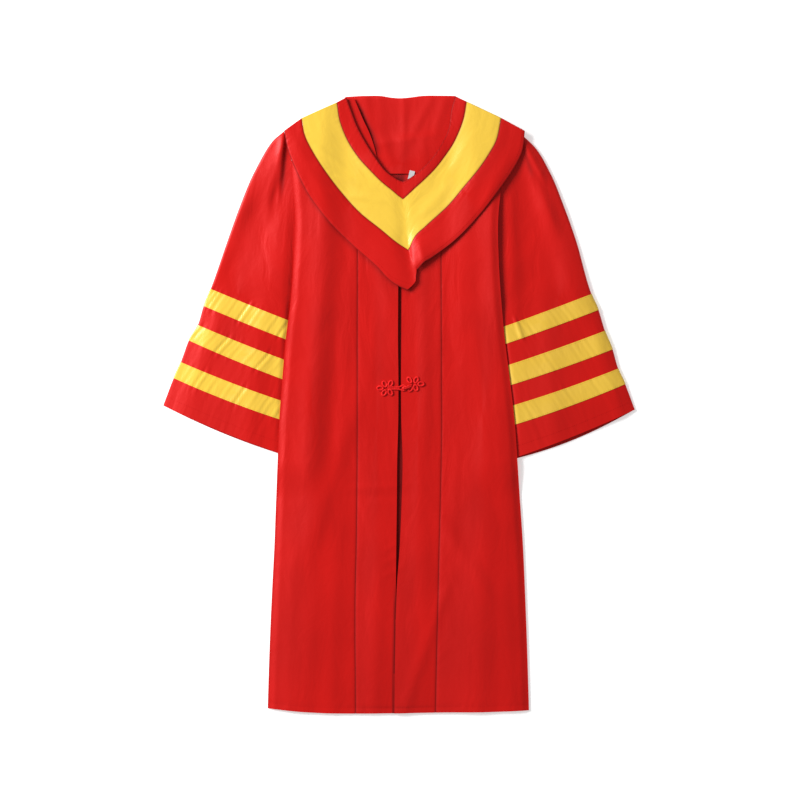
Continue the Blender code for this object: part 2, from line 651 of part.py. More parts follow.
def make_closure():
    """A loop half and a knob half: petals of cord, a bar to the middle, and a ring round the knob."""
    knob_x, knob_y = KNOB_CENTRE
    ring_z = cord_height(knob_x, knob_y)
    ring_centre = (knob_x, knob_y, ring_z)
    knob_centre = (knob_x, knob_y, ring_z + KNOB_RISE)

    def petals(centres):
        return [cord_ring((x, y, cord_height(x, y)), PETAL_RADIUS) for x, y in centres]

    def tip_of(centres, sign):
        """Where the bar meets the outermost petal."""
        x = centres[0][0] + sign * PETAL_RADIUS
        return x, centres[0][1], cord_height(x, centres[0][1])

    petal_x, petal_y, petal_z = tip_of(LOOP_PETALS, 1)
    loop_start = (petal_x, petal_y, petal_z + BAR_RISE)
    loop_end = (knob_x - RING_RADIUS, knob_y, ring_z + BAR_RISE)
    bar = cord_bar(loop_start, loop_end, BAR_RADIUS)
    loop_half = [*petals(LOOP_PETALS), bar, cord_ring(ring_centre, RING_RADIUS)]
    join_by_union("closure_loop", loop_half, RED, CORD_ROUGHNESS)

    over_ring = (knob_x + RING_RADIUS, knob_y, ring_z + 2 * CORD_RADIUS + SEAM_GAP + KNOB_BAR_CLEARANCE)
    knob_end = tip_of(KNOB_PETALS, -1)
    knob_half = [
        *petals(KNOB_PETALS),
        knob(knob_centre),
        cord_bar((knob_x, knob_y, over_ring[2]), over_ring, KNOB_BAR_RADIUS),
        cord_bar(over_ring, knob_end, KNOB_BAR_RADIUS),
    ]
    join_by_union("closure_knob", knob_half, RED, CORD_ROUGHNESS)


def main():
    for old in list(bpy.data.objects):
        bpy.data.objects.remove(old)
    collection = bpy.data.collections.new(NAME)
    bpy.context.scene.collection.children.link(collection)
    make_back()
    make_fronts()
    make_sleeves()
    make_collar_arms()
    make_collar_back()
    make_neck_facing()
    make_label()
    make_closure()


main()
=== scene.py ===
import math

import bpy
import numpy as np
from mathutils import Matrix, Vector


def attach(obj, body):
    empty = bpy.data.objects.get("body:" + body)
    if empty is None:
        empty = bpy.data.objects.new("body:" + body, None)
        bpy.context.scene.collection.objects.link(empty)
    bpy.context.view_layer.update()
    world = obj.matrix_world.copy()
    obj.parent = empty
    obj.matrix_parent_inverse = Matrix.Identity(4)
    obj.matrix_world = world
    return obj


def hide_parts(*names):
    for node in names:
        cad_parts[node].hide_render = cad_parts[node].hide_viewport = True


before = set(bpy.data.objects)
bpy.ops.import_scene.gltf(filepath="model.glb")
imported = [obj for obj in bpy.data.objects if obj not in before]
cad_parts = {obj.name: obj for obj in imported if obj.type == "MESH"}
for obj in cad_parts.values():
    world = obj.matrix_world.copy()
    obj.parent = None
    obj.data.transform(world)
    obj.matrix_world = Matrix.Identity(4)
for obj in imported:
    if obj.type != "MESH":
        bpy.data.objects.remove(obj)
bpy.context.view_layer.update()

gown = bpy.data.collections.new("dressed_gown")
bpy.context.scene.collection.children.link(gown)


# The table that the gown lies on, and the studio: a plain white floor, one large soft light high on the
# upper left, a white room round it, and a camera that looks straight down on the gown.
FLOOR_HALF = 7.0
FLOOR_Z = -0.0006
FLOOR_WHITE = (0.93, 0.93, 0.93, 1.0)
CAMERA_AT = (0.0018, 0.0079, 3.3731)
LENS_MM = 85.0
SENSOR_MM = 36.0
KEY_AT = (-2.90, 1.50, 2.10)
KEY_SIZE = 1.6
KEY_WATTS = 218.0
ROOM_WHITE = (1.0, 1.0, 1.0, 1.0)
ROOM_STRENGTH = 0.33
FLOOR_GLOW = 0.42

floor_mesh = bpy.data.meshes.new("floor")
floor_mesh.from_pydata(
    [(-FLOOR_HALF, -FLOOR_HALF, FLOOR_Z), (FLOOR_HALF, -FLOOR_HALF, FLOOR_Z),
     (FLOOR_HALF, FLOOR_HALF, FLOOR_Z), (-FLOOR_HALF, FLOOR_HALF, FLOOR_Z)], [], [(0, 1, 2, 3)])
floor = bpy.data.objects.new("floor", floor_mesh)
gown.objects.link(floor)
floor_paint = bpy.data.materials.new("white_table")
floor_paint.use_nodes = True
floor_shader = floor_paint.node_tree.nodes["Principled BSDF"]
floor_shader.inputs["Base Color"].default_value = FLOOR_WHITE
floor_shader.inputs["Roughness"].default_value = 0.9
floor_shader.inputs["Specular IOR Level"].default_value = 0.1
floor_shader.inputs["Emission Color"].default_value = ROOM_WHITE
floor_shader.inputs["Emission Strength"].default_value = FLOOR_GLOW
floor_mesh.materials.append(floor_paint)

camera_data = bpy.data.cameras.new("camera_above")
camera_data.lens = LENS_MM
camera_data.sensor_width = SENSOR_MM
camera_data.sensor_fit = "AUTO"
camera_data.clip_end = 50.0
camera = bpy.data.objects.new("camera_above", camera_data)
camera.location = CAMERA_AT
bpy.context.scene.collection.objects.link(camera)
bpy.context.scene.camera = camera

key_data = bpy.data.lights.new("key_light", "AREA")
key_data.shape = "SQUARE"
key_data.size = KEY_SIZE
key_data.energy = KEY_WATTS
key = bpy.data.objects.new("key_light", key_data)
key.location = KEY_AT
key.rotation_euler = (Vector((0.0, 0.0, 0.0)) - Vector(KEY_AT)).to_track_quat("-Z", "Y").to_euler()
bpy.context.scene.collection.objects.link(key)

room = bpy.data.worlds.new("white_room")
room.use_nodes = True
room.node_tree.nodes["Background"].inputs["Color"].default_value = ROOM_WHITE
room.node_tree.nodes["Background"].inputs["Strength"].default_value = ROOM_STRENGTH
bpy.context.scene.world = room
bpy.context.scene.view_settings.view_transform = "Standard"
bpy.context.scene.view_settings.look = "None"


# The cloth: polyester satin, a fine weave whose long floats give it a soft, even sheen, a little uneven in
# tone and never quite smooth. Weave and unevenness are two effects that red and yellow satin share.
WEAVE_PITCH = 0.00042


def new_group(name, inputs, outputs):
    """An empty shader node group with named sockets, its input node and its output node."""
    group = bpy.data.node_groups.new(name, "ShaderNodeTree")
    for socket, kind in inputs:
        group.interface.new_socket(socket, in_out="INPUT", socket_type=kind)
    for socket, kind in outputs:
        group.interface.new_socket(socket, in_out="OUTPUT", socket_type=kind)
    return group, group.nodes.new("NodeGroupInput"), group.nodes.new("NodeGroupOutput")


def math_node(tree, operation, first, second):
    """One Math node; first and second are sockets or numbers."""
    node = tree.nodes.new("ShaderNodeMath")
    node.operation = operation
    for socket, value in zip(node.inputs, (first, second)):
        if isinstance(value, (int, float)):
            socket.default_value = value
        else:
            tree.links.new(value, socket)
    return node.outputs[0]


def make_weave_group():
    """Satin weave: height = |sin(pi(x + 0.35 y) / pitch)| of the long floats, less where a weft thread ties
    them down, every second pitch along y."""
    group, given, out = new_group(
        "satin_weave",
        [("Place", "NodeSocketVector"), ("Pitch", "NodeSocketFloat")],
        [("Height", "NodeSocketFloat")])
    split = group.nodes.new("ShaderNodeSeparateXYZ")
    group.links.new(given.outputs["Place"], split.inputs[0])
    slant = math_node(group, "MULTIPLY", split.outputs["Y"], 0.35)
    across = math_node(group, "ADD", split.outputs["X"], slant)
    threads = math_node(group, "DIVIDE", across, given.outputs["Pitch"])
    floats = math_node(group, "ABSOLUTE", math_node(group, "SINE", math_node(group, "MULTIPLY", threads, math.pi), 0.0), 0.0)
    double = math_node(group, "MULTIPLY", given.outputs["Pitch"], 2.0)
    ties = math_node(group, "SINE", math_node(group, "MULTIPLY", math_node(group, "DIVIDE", split.outputs["Y"], double), 2 * math.pi), 0.0)
    tied = math_node(group, "MULTIPLY", math_node(group, "MULTIPLY", ties, floats), 0.25)
    group.links.new(math_node(group, "SUBTRACT", floats, tied), out.inputs["Height"])
    return group


def make_unevenness_group():
    """Two soft noises: a broad one for tone, and one of small, drawn-out wrinkles for height."""
    group, given, out = new_group(
        "cloth_unevenness",
        [("Place", "NodeSocketVector"), ("Tone per metre", "NodeSocketFloat"), ("Wrinkles per metre", "NodeSocketFloat")],
        [("Tone", "NodeSocketFloat"), ("Wrinkle", "NodeSocketFloat")])
    broad = group.nodes.new("ShaderNodeTexNoise")
    broad.inputs["Detail"].default_value = 2.0
    group.links.new(given.outputs["Place"], broad.inputs["Vector"])
    group.links.new(given.outputs["Tone per metre"], broad.inputs["Scale"])
    group.links.new(broad.outputs["Fac"], out.inputs["Tone"])
    stretch = group.nodes.new("ShaderNodeMapping")
    stretch.inputs["Scale"].default_value = (1.0, 0.42, 1.0)
    group.links.new(given.outputs["Place"], stretch.inputs["Vector"])
    wrinkle = group.nodes.new("ShaderNodeTexNoise")
    wrinkle.inputs["Detail"].default_value = 3.0
    wrinkle.inputs["Distortion"].default_value = 0.6
    group.links.new(stretch.outputs["Vector"], wrinkle.inputs["Vector"])
    group.links.new(given.outputs["Wrinkles per metre"], wrinkle.inputs["Scale"])
    group.links.new(wrinkle.outputs["Fac"], out.inputs["Wrinkle"])
    return group


weave_group = make_weave_group()
unevenness_group = make_unevenness_group()


def satin(name, shade, lit, roughness, wrinkles, wrinkle_depth, tint, shine, sheen):
    """A satin: its colour is lit, a little less where the cloth's tone is low, and goes to shade where its attribute of
    painted shade and seam lines is high; where that attribute is below zero the satin is painted lighter, up to lit.
    """
    cloth = bpy.data.materials.new(name)
    cloth.use_nodes = True
    tree = cloth.node_tree
    shader = tree.nodes["Principled BSDF"]
    place = tree.nodes.new("ShaderNodeUVMap")
    place.uv_map = "cut"
    uneven = tree.nodes.new("ShaderNodeGroup")
    uneven.node_tree = unevenness_group
    uneven.inputs["Tone per metre"].default_value = 6.0
    uneven.inputs["Wrinkles per metre"].default_value = wrinkles
    tree.links.new(place.outputs["UV"], uneven.inputs["Place"])
    weave = tree.nodes.new("ShaderNodeGroup")
    weave.node_tree = weave_group
    weave.inputs["Pitch"].default_value = WEAVE_PITCH
    tree.links.new(place.outputs["UV"], weave.inputs["Place"])

    # The attribute read here carries painted shade (slit, pleats, lapped edge, strip edges, beside the facing), painted
    # sheen on the collar band, and dark seam lines.
    seam_and_painted_light = tree.nodes.new("ShaderNodeAttribute")
    seam_and_painted_light.attribute_name = "seam_and_painted_light"
    tone = tree.nodes.new("ShaderNodeMapRange")
    tone.inputs["From Min"].default_value = 0.25
    tone.inputs["From Max"].default_value = 0.65
    tree.links.new(uneven.outputs["Tone"], tone.inputs["Value"])
    even = math_node(tree, "ADD", math_node(tree, "MULTIPLY", tone.outputs["Result"], 0.16), 0.84)
    light_part = math_node(tree, "SUBTRACT", even, seam_and_painted_light.outputs["Fac"])
    colours = tree.nodes.new("ShaderNodeValToRGB")
    colours.color_ramp.elements[0].position = 0.0
    colours.color_ramp.elements[0].color = shade
    colours.color_ramp.elements[1].position = 1.0
    colours.color_ramp.elements[1].color = lit
    tree.links.new(light_part, colours.inputs["Fac"])
    tree.links.new(colours.outputs["Color"], shader.inputs["Base Color"])

    gloss = tree.nodes.new("ShaderNodeMapRange")
    gloss.inputs["To Min"].default_value = roughness + 0.04
    gloss.inputs["To Max"].default_value = roughness - 0.04
    tree.links.new(weave.outputs["Height"], gloss.inputs["Value"])
    dulled = math_node(tree, "MULTIPLY", seam_and_painted_light.outputs["Fac"], 0.35)
    tree.links.new(math_node(tree, "ADD", gloss.outputs["Result"], dulled), shader.inputs["Roughness"])
    soft = tree.nodes.new("ShaderNodeBump")
    soft.inputs["Strength"].default_value = 1.0
    soft.inputs["Distance"].default_value = wrinkle_depth
    tree.links.new(uneven.outputs["Wrinkle"], soft.inputs["Height"])
    threads = tree.nodes.new("ShaderNodeBump")
    threads.inputs["Strength"].default_value = 0.25
    threads.inputs["Distance"].default_value = 0.00006
    tree.links.new(weave.outputs["Height"], threads.inputs["Height"])
    tree.links.new(soft.outputs["Normal"], threads.inputs["Normal"])
    tree.links.new(threads.outputs["Normal"], shader.inputs["Normal"])
    shader.inputs["Specular IOR Level"].default_value = shine
    shader.inputs["Specular Tint"].default_value = tint
    shader.inputs["Anisotropic"].default_value = 0.35
    shader.inputs["Sheen Weight"].default_value = sheen
    shader.inputs["Sheen Roughness"].default_value = 0.45
    shader.inputs["Sheen Tint"].default_value = tint
    return cloth


# shade is the dark colour that painted shade and seam lines go to; lit is the cloth's colour in full light.
red_satin = satin(
    "red_satin", shade=(0.08, 0.0003, 0.0003, 1.0), lit=(0.62, 0.0072, 0.0048, 1.0), roughness=0.41, wrinkles=26.0,
    wrinkle_depth=0.0014, tint=(1.0, 0.25, 0.26, 1.0), shine=0.72, sheen=0.02)
yellow_satin = satin(
    "yellow_satin", shade=(0.40, 0.13, 0.002, 1.0), lit=(0.89, 0.57, 0.052, 1.0), roughness=0.37, wrinkles=34.0,
    wrinkle_depth=0.0014, tint=(1.0, 0.95, 0.78, 1.0), shine=0.75, sheen=0.04)


def cloth_piece(name, node, points, uv, seam_and_painted_light_marks, material, thickness, closed=False, flip=False, out=False):
    """A sheet over a grid of points, rows by columns, with its cut as UV in metres and its painted shade, painted
    sheen and dark seam lines as an attribute. The points are the face that shows; out says that the thickness goes
    outward from them. Its rim is sharp, so that the shading of the face doesn't run over the cut edge."""
    rows, columns, _ = points.shape
    wrap = columns if closed else columns - 1
    row = np.arange(rows - 1)[:, None]
    column = np.arange(wrap)[None, :]
    beside = (column + 1) % columns
    corners = np.stack(
        (row * columns + column, (row + 1) * columns + column, (row + 1) * columns + beside, row * columns + beside),
        axis=-1).reshape(-1, 4)
    u, v = uv
    cut_u = np.stack((u[:-1, :wrap], u[1:, :wrap], u[1:, 1:wrap + 1], u[:-1, 1:wrap + 1]), axis=-1).reshape(-1, 4)
    cut_v = np.stack((v[:-1, :wrap], v[1:, :wrap], v[1:, 1:wrap + 1], v[:-1, 1:wrap + 1]), axis=-1).reshape(-1, 4)
    if flip:
        corners, cut_u, cut_v = corners[:, ::-1], cut_u[:, ::-1], cut_v[:, ::-1]
    mesh = bpy.data.meshes.new(name)
    mesh.from_pydata(points.reshape(-1, 3).tolist(), [], corners.tolist())
    layer = mesh.uv_layers.new(name="cut")
    layer.data.foreach_set("uv", np.stack((cut_u, cut_v), axis=-1).reshape(-1))
    seam_and_painted_light_layer = mesh.attributes.new("seam_and_painted_light", "FLOAT", "POINT")
    seam_and_painted_light_layer.data.foreach_set("value", np.broadcast_to(seam_and_painted_light_marks, points.shape[:2]).reshape(-1).astype(np.float32))
    mesh.shade_smooth()
    ends = np.empty(2 * len(mesh.edges), dtype=np.int32)
    mesh.edges.foreach_get("vertices", ends)
    end_row, end_column = np.divmod(ends.reshape(-1, 2), columns)
    rim = (end_row == 0).all(axis=1) | (end_row == rows - 1).all(axis=1)
    if not closed:
        rim |= (end_column == 0).all(axis=1) | (end_column == columns - 1).all(axis=1)
    mesh.attributes.new("sharp_edge", "BOOLEAN", "EDGE").data.foreach_set("value", rim)
    mesh.materials.append(material)
    piece = bpy.data.objects.new(name, mesh)
    gown.objects.link(piece)
    solid = piece.modifiers.new("cloth_thickness", "SOLIDIFY")
    solid.thickness = thickness
    solid.offset = 1.0 if out else -1.0
    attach(piece, "root")
    if node:
        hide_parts(node)
    return piece


def flat_uv(points):
    """The cut of a piece: distance run along each row and down the middle column, in metres."""
    step = np.linalg.norm(np.diff(points[:, :, :2], axis=1), axis=2)
    across = np.concatenate((np.zeros((len(points), 1)), np.cumsum(step, axis=1)), axis=1)
    middle = points[:, points.shape[1] // 2, :2]
    run = np.concatenate(([0.0], np.cumsum(np.linalg.norm(np.diff(middle, axis=0), axis=1))))
    centred = across - across[:, -1:] / 2
    return centred, np.broadcast_to(run[:, None], across.shape)


# The back panel: one piece of red satin from the shoulders to the hem. It lies flat on the table, and rises
# over the collar's hanging back and over the sleeves, which are tucked a little way under it.
WALL = 0.0012
LAYER_GAP = 0.0005
SEAM_GAP = 0.0003
CLOTH = 0.0004
TUCK_LIFT = 0.0064
TUCK_FLAT = 0.045
TUCK_RAMP_END = 0.100
TUCK_END_Y = (-0.0993, -0.1707)
RIGHT_EDGE_LIFT = 0.004
RIGHT_EDGE_REACH = 0.05
HANGING_CENTRE = (0.003, 0.490)
HANGING_HALF_SIZE = (0.185, 0.190)
CHEST_Y = 0.3382


def table(columns, *rows):
    """A short table, as one array for each named column."""
    return {name: np.array(values) for name, values in zip(columns.split(), zip(*rows))}


BODY = table(
    "y side_left seam_left edge_left edge_right seam_right side_right",
    (0.4811, -0.1860, -0.0739, -0.0011, 0.0050, 0.0750, 0.1800),
    (0.4204, -0.1914, -0.0739, -0.0011, 0.0050, 0.0750, 0.1854),
    (0.3829, -0.1889, -0.0739, -0.0011, 0.0050, 0.0750, 0.1814),
    (0.3382, -0.1854, -0.0739, -0.0011, 0.0050, 0.0750, 0.1768),
    (0.2579, -0.1880, -0.0741, -0.0012, 0.0048, 0.0750, 0.1773),
    (0.1864, -0.1929, -0.0741, -0.0016, 0.0045, 0.0754, 0.1818),
    (0.1150, -0.2018, -0.0743, -0.0018, 0.0041, 0.0757, 0.1886),
    (0.0436, -0.2079, -0.0743, -0.0011, 0.0036, 0.0759, 0.1975),
    (-0.0279, -0.2132, -0.0743, -0.0014, 0.0041, 0.0761, 0.2057),
    (-0.0993, -0.2161, -0.0745, -0.0032, 0.0064, 0.0754, 0.2109),
    (-0.1707, -0.2193, -0.0750, -0.0038, 0.0048, 0.0739, 0.2159),
    (-0.2511, -0.2223, -0.0761, -0.0048, 0.0014, 0.0718, 0.2212),
    (-0.3314, -0.2264, -0.0779, -0.0054, -0.0043, 0.0700, 0.2248),
    (-0.4118, -0.2300, -0.0784, -0.0043, -0.0068, 0.0680, 0.2279),
    (-0.4832, -0.2325, -0.0779, -0.0043, -0.0079, 0.0664, 0.2302),
    (-0.5511, -0.2345, -0.0775, -0.0043, -0.0087, 0.0652, 0.2321),
)
HEM = table(
    "x y",
    (-0.2345, -0.5421),
    (-0.1714, -0.5484),
    (-0.0089, -0.5507),
    (0.0750, -0.5493),
    (0.1643, -0.5484),
    (0.2321, -0.5457),
)
BACK_TOP = table(
    "x y",
    (-0.1850, 0.4829),
    (-0.1018, 0.5221),
    (-0.0911, 0.4936),
    (-0.0750, 0.4596),
    (-0.0482, 0.4400),
    (0.0018, 0.4293),
    (0.0518, 0.4400),
    (0.0750, 0.4543),
    (0.0946, 0.4900),
    (0.1036, 0.5221),
    (0.1929, 0.4775),
)


def ease(start, end, value):
    """0 before start, 1 after end, and a smooth step between them."""
    share = np.clip((np.asarray(value) - start) / (end - start), 0.0, 1.0)
    return share * share * (3.0 - 2.0 * share)


def smooth_along(rows, key, name, at):
    """A cubic through a table's rows: its slope at a row is the mean of those on both sides, each weighted
    by how near the other row is."""
    order = np.argsort(rows[key])
    keys = rows[key][order]
    values = rows[name][order]
    step = np.diff(keys)
    rise = np.diff(values) / step
    slope = np.concatenate((rise[:1], (rise[:-1] * step[1:] + rise[1:] * step[:-1]) / (step[:-1] + step[1:]), rise[-1:]))
    at = np.clip(at, keys[0], keys[-1])
    low = np.clip(np.searchsorted(keys, at, side="right") - 1, 0, len(step) - 1)
    share = (at - keys[low]) / step[low]
    from_low = (1.0 + 2.0 * share) * (1.0 - share) ** 2 * values[low] + share * (1.0 - share) ** 2 * step[low] * slope[low]
    from_high = share**2 * (3.0 - 2.0 * share) * values[low + 1] - share**2 * (1.0 - share) * step[low] * slope[low + 1]
    return from_low + from_high


def body_edge(name, y):
    return smooth_along(BODY, "y", name, y)


def fold_field(folds, x, y):
    """Sum of soft folds. Each is a ridge from (x1, y1) to (x2, y2): height * exp(-(d / reach)^2), where d is
    the distance from that line and reach is its left or right one, as seen when looking from 1 to 2 upside
    down, that is, with 1 at the top."""
    height = np.zeros(np.broadcast(x, y).shape)
    for px, py, qx, qy, left, right, top in zip(*folds.values()):
        length = math.hypot(qx - px, qy - py)
        ux, uy = (qx - px) / length, (qy - py) / length
        forward = (x - px) * ux + (y - py) * uy
        beside = (x - px) * uy - (y - py) * ux
        past = np.maximum(np.maximum(-forward, forward - length), 0.0) / (0.5 * (left + right) + 0.25 * length)
        height = height + top * np.exp(-(beside / np.where(beside > 0, left, right)) ** 2 - past**2)
    return height


def hanging_lift(x, y):
    """How far the collar's hanging back raises what lies on it."""
    across = (x - HANGING_CENTRE[0]) / HANGING_HALF_SIZE[0]
    down = (y - HANGING_CENTRE[1]) / HANGING_HALF_SIZE[1]
    return (WALL + SEAM_GAP) * (1.0 - ease(1.25, 1.70, np.hypot(across, down)))


def back_underside(x, y):
    """Height of the back's underside: flat on the table, raised over the collar's back and the sleeves."""
    from_left = x - body_edge("side_left", y)
    from_right = body_edge("side_right", y) - x
    beside_sleeve = 1.0 - ease(TUCK_FLAT, TUCK_RAMP_END, np.minimum(from_left, from_right))
    over_sleeve = 1.0 - ease(-TUCK_END_Y[0], -TUCK_END_Y[1], -y)
    right_edge = 1.0 - ease(0.0, RIGHT_EDGE_REACH, from_right)
    right_part = ease(0.11, 0.19, y) * (1.0 - ease(0.31, 0.40, y))
    return hanging_lift(x, y) + TUCK_LIFT * beside_sleeve * over_sleeve + RIGHT_EDGE_LIFT * right_edge * right_part


def shares_of(length, step, edge=0.0012):
    """Shares from 0 to 1 about a step apart, with one more close to each end, where a seam or hem turns."""
    count = max(int(round(length / step)), 3)
    inner = np.linspace(0.0, 1.0, count + 1)[1:-1]
    return np.concatenate(([0.0, edge / length], inner, [1.0 - edge / length, 1.0]))


def panel_plan(left, right, top, across, down):
    """Plan of a body panel: at each height x runs from the left edge to the right, and y runs from the
    panel's top edge to the hem."""
    chest_x = left(CHEST_Y) + (right(CHEST_Y) - left(CHEST_Y)) * across
    top_y = np.interp(chest_x, top["x"], top["y"])
    lowest = BODY["y"][-1]
    hem_x = left(lowest) + (right(lowest) - left(lowest)) * across
    hem_y = smooth_along(HEM, "x", "y", hem_x)
    y = top_y + (hem_y - top_y) * down[:, None]
    return left(y) + (right(y) - left(y)) * across, y


def edge(name, shift=0.0):
    return lambda y: body_edge(name, y) + shift


across = shares_of(0.46, 0.004)
down = shares_of(1.05, 0.006)
x, y = panel_plan(edge("side_left"), edge("side_right"), BACK_TOP, across, down)
back_points = np.stack((x, y, back_underside(x, y) + WALL), axis=-1)
# Painted shade: the back goes dark near the fronts' opening, below the chest, where it shows in the slit as if in their
# shadow.
from_opening = np.maximum(body_edge("edge_left", y) - x, x - body_edge("edge_right", y))
slit_painted_shade = 0.78 * (1.0 - ease(0.0, 0.012, from_opening)) * (1.0 - ease(0.40, 0.43, y))
back = cloth_piece(
    "back_panel", "back", back_points, flat_uv(back_points), slit_painted_shade, red_satin, CLOTH)


# The fronts: four lengths of red satin, a side and a centre panel left and right, joined by long pressed
# seams. They lie on the back, in soft folds, and the right one laps over the left near the hem.
LAP_LIFT = 0.0018
LAP_REACH = 0.045
LAP_START_Y = (-0.2511, -0.3314)
FRONT_LOFT = 0.0025
SIDE_ROLL = 0.014
FOLD_FLOOR = 0.0012
COLLAR_COVERS = table(
    "x y",
    (-0.2045, 0.4864),
    (-0.1795, 0.4079),
    (-0.1554, 0.3641),
    (-0.1214, 0.3212),
    (-0.0813, 0.2820),
    (-0.0393, 0.2448),
    (-0.0107, 0.2168),
    (0.0196, 0.2038),
    (0.0321, 0.2391),
    (0.0571, 0.2605),
    (0.0991, 0.2918),
    (0.1402, 0.3337),
    (0.1741, 0.3766),
    (0.2009, 0.4150),
    (0.2241, 0.4864),
)
SEAM_SINK = 0.0005
SEAM_REACH = 0.0022
HEM_DEPTH = 0.0105
HEM_SINK = 0.00035
FRONT_TOP = table(
    "x y",
    (-0.1850, 0.4829),
    (-0.1071, 0.5204),
    (-0.0741, 0.4704),
    (-0.0500, 0.4329),
    (-0.0250, 0.4061),
    (0.0000, 0.3829),
    (0.0054, 0.3793),
    (0.0339, 0.4007),
    (0.0554, 0.4204),
    (0.0750, 0.4471),
    (0.1071, 0.5168),
    (0.1893, 0.4775),
)
FRONT_FOLDS = table(
    "x1 y1 x2 y2 left right height",
    (-0.134, 0.311, -0.148, 0.008, 0.026, 0.024, 0.0024),
    (-0.150, 0.008, -0.160, -0.206, 0.030, 0.030, 0.0022),
    (-0.088, -0.037, -0.150, -0.228, 0.020, 0.016, 0.0018),
    (-0.162, -0.414, -0.177, -0.549, 0.023, 0.021, 0.0016),
    (-0.048, 0.279, -0.020, 0.186, 0.013, 0.013, 0.0012),
    (-0.070, -0.149, -0.005, -0.146, 0.006, 0.006, 0.0006),
    (-0.066, -0.165, -0.007, -0.164, 0.006, 0.006, -0.0005),
    (-0.020, -0.258, -0.004, -0.249, 0.004, 0.004, 0.0005),
    (-0.021, -0.280, -0.004, -0.272, 0.004, 0.004, 0.0005),
    (-0.020, -0.303, -0.004, -0.296, 0.004, 0.004, 0.0005),
    (0.073, -0.360, 0.020, -0.514, 0.013, 0.011, 0.0015),
    (0.152, -0.271, 0.141, -0.535, 0.030, 0.024, 0.0022),
    (0.079, -0.214, 0.145, -0.317, 0.014, 0.014, 0.0014),
    (-0.048, 0.133, -0.052, -0.117, 0.018, 0.014, 0.0009),
    (0.040, 0.186, 0.045, -0.046, 0.020, 0.014, 0.0016),
    (0.105, 0.186, 0.120, -0.117, 0.021, 0.018, 0.0016),
    (-0.038, -0.349, -0.045, -0.528, 0.016, 0.014, 0.0012),
    (-0.114, -0.278, -0.123, -0.539, 0.018, 0.016, 0.0013),
    (0.038, -0.117, 0.045, -0.349, 0.016, 0.014, 0.0010),
    (0.180, -0.028, 0.195, -0.206, 0.016, 0.016, 0.0013),
    (-0.096, 0.186, -0.102, -0.028, 0.016, 0.016, 0.0014),
    (0.100, -0.117, 0.095, -0.242, 0.016, 0.011, 0.0010),
    (-0.191, -0.278, -0.198, -0.539, 0.014, 0.014, 0.0010),
    (0.189, -0.349, 0.202, -0.539, 0.016, 0.014, 0.0012),
)


def pucker(run, start):
    """Uneven ripples along a seam: three sines of lengths that don't match, louder and softer by a fourth.
    It runs from about -1 to 1."""
    ripples = (
        np.sin(2 * math.pi * run / 0.0131 + start)
        + 0.8 * np.sin(2 * math.pi * run / 0.0213 + 1.7 * start)
        + 0.6 * np.sin(2 * math.pi * run / 0.0087 + 2.3 * start))
    return ripples / 2.0 * (0.6 + 0.4 * np.sin(2 * math.pi * run / 0.097 + 0.6 * start))


def under_collar(x, y):
    """1 where the collar cape lies over the gown, 0 clear of it, and a soft change along its outer edge."""
    return ease(-0.004, 0.022, y - np.interp(x, COLLAR_COVERS["x"], COLLAR_COVERS["y"]))


def front_underside(x, y):
    """The fronts lie a gap above the back and stand a loft off it, as cloth with air under it does. They
    roll down to it at the side seams. Their folds die out where the collar presses on them, and a soft
    floor, (s + sqrt(s^2 + floor^2)) / 2, keeps every hollow above the back."""
    from_side = np.minimum(x - body_edge("side_left", y), body_edge("side_right", y) - x)
    swell = FRONT_LOFT + fold_field(FRONT_FOLDS, x, y) * (1.0 - under_collar(x, y))
    swell = 0.5 * (swell + np.sqrt(swell**2 + FOLD_FLOOR**2))
    return back_underside(x, y) + WALL + LAYER_GAP + swell * ease(0.0, SIDE_ROLL, from_side)


def front_surface(x, y):
    """Top face of the fronts, with the long seams pressed in and slightly puckered along them."""
    height = front_underside(x, y) + WALL
    for name, start in (("seam_left", 0.4), ("seam_right", 2.1)):
        from_seam = np.abs(x - body_edge(name, y))
        height = height - SEAM_SINK * np.exp(-(from_seam / SEAM_REACH) ** 2)
        height = height + 0.00016 * pucker(y, start) * np.exp(-(from_seam / 0.010) ** 2)
    from_hem = y - smooth_along(HEM, "x", "y", x)
    height = height - HEM_SINK * np.exp(-((from_hem - HEM_DEPTH) / 0.0022) ** 2)
    return height + 0.00018 * pucker(x, 1.9) * np.exp(-((from_hem - HEM_DEPTH) / 0.008) ** 2)


def front_seams_and_painted_shade(x, y):
    """Where the fronts are drawn darker: dark lines in the pressed seams and in the hem's stitching, painted shade
    along the lapped edge of the opening low down, and a painted shadow close to the collar's outer edge, which lies on
    them."""
    dark = np.zeros(x.shape)
    for name in ("seam_left", "seam_right"):
        dark = np.maximum(dark, 0.55 * np.exp(-((x - body_edge(name, y)) / 0.0013) ** 2))
    from_lap = np.abs(x - body_edge("edge_right", y) + 0.0008) * np.where(x < body_edge("edge_right", y) + 0.0005, 1.0, 9.0)
    painted_lap_shade = 0.85 * np.exp(-(from_lap / 0.0026) ** 2) * ease(0.30, 0.36, -y)
    from_hem = y - smooth_along(HEM, "x", "y", x)
    sewn = 0.16 * np.exp(-((from_hem - HEM_DEPTH) / 0.0012) ** 2)
    below_collar = np.interp(x, COLLAR_COVERS["x"], COLLAR_COVERS["y"]) - y
    painted_collar_edge_shadow = 0.30 * np.exp(-(below_collar / 0.0075) ** 2)
    return np.maximum(np.maximum(dark, painted_lap_shade), np.maximum(sewn, painted_collar_edge_shadow))


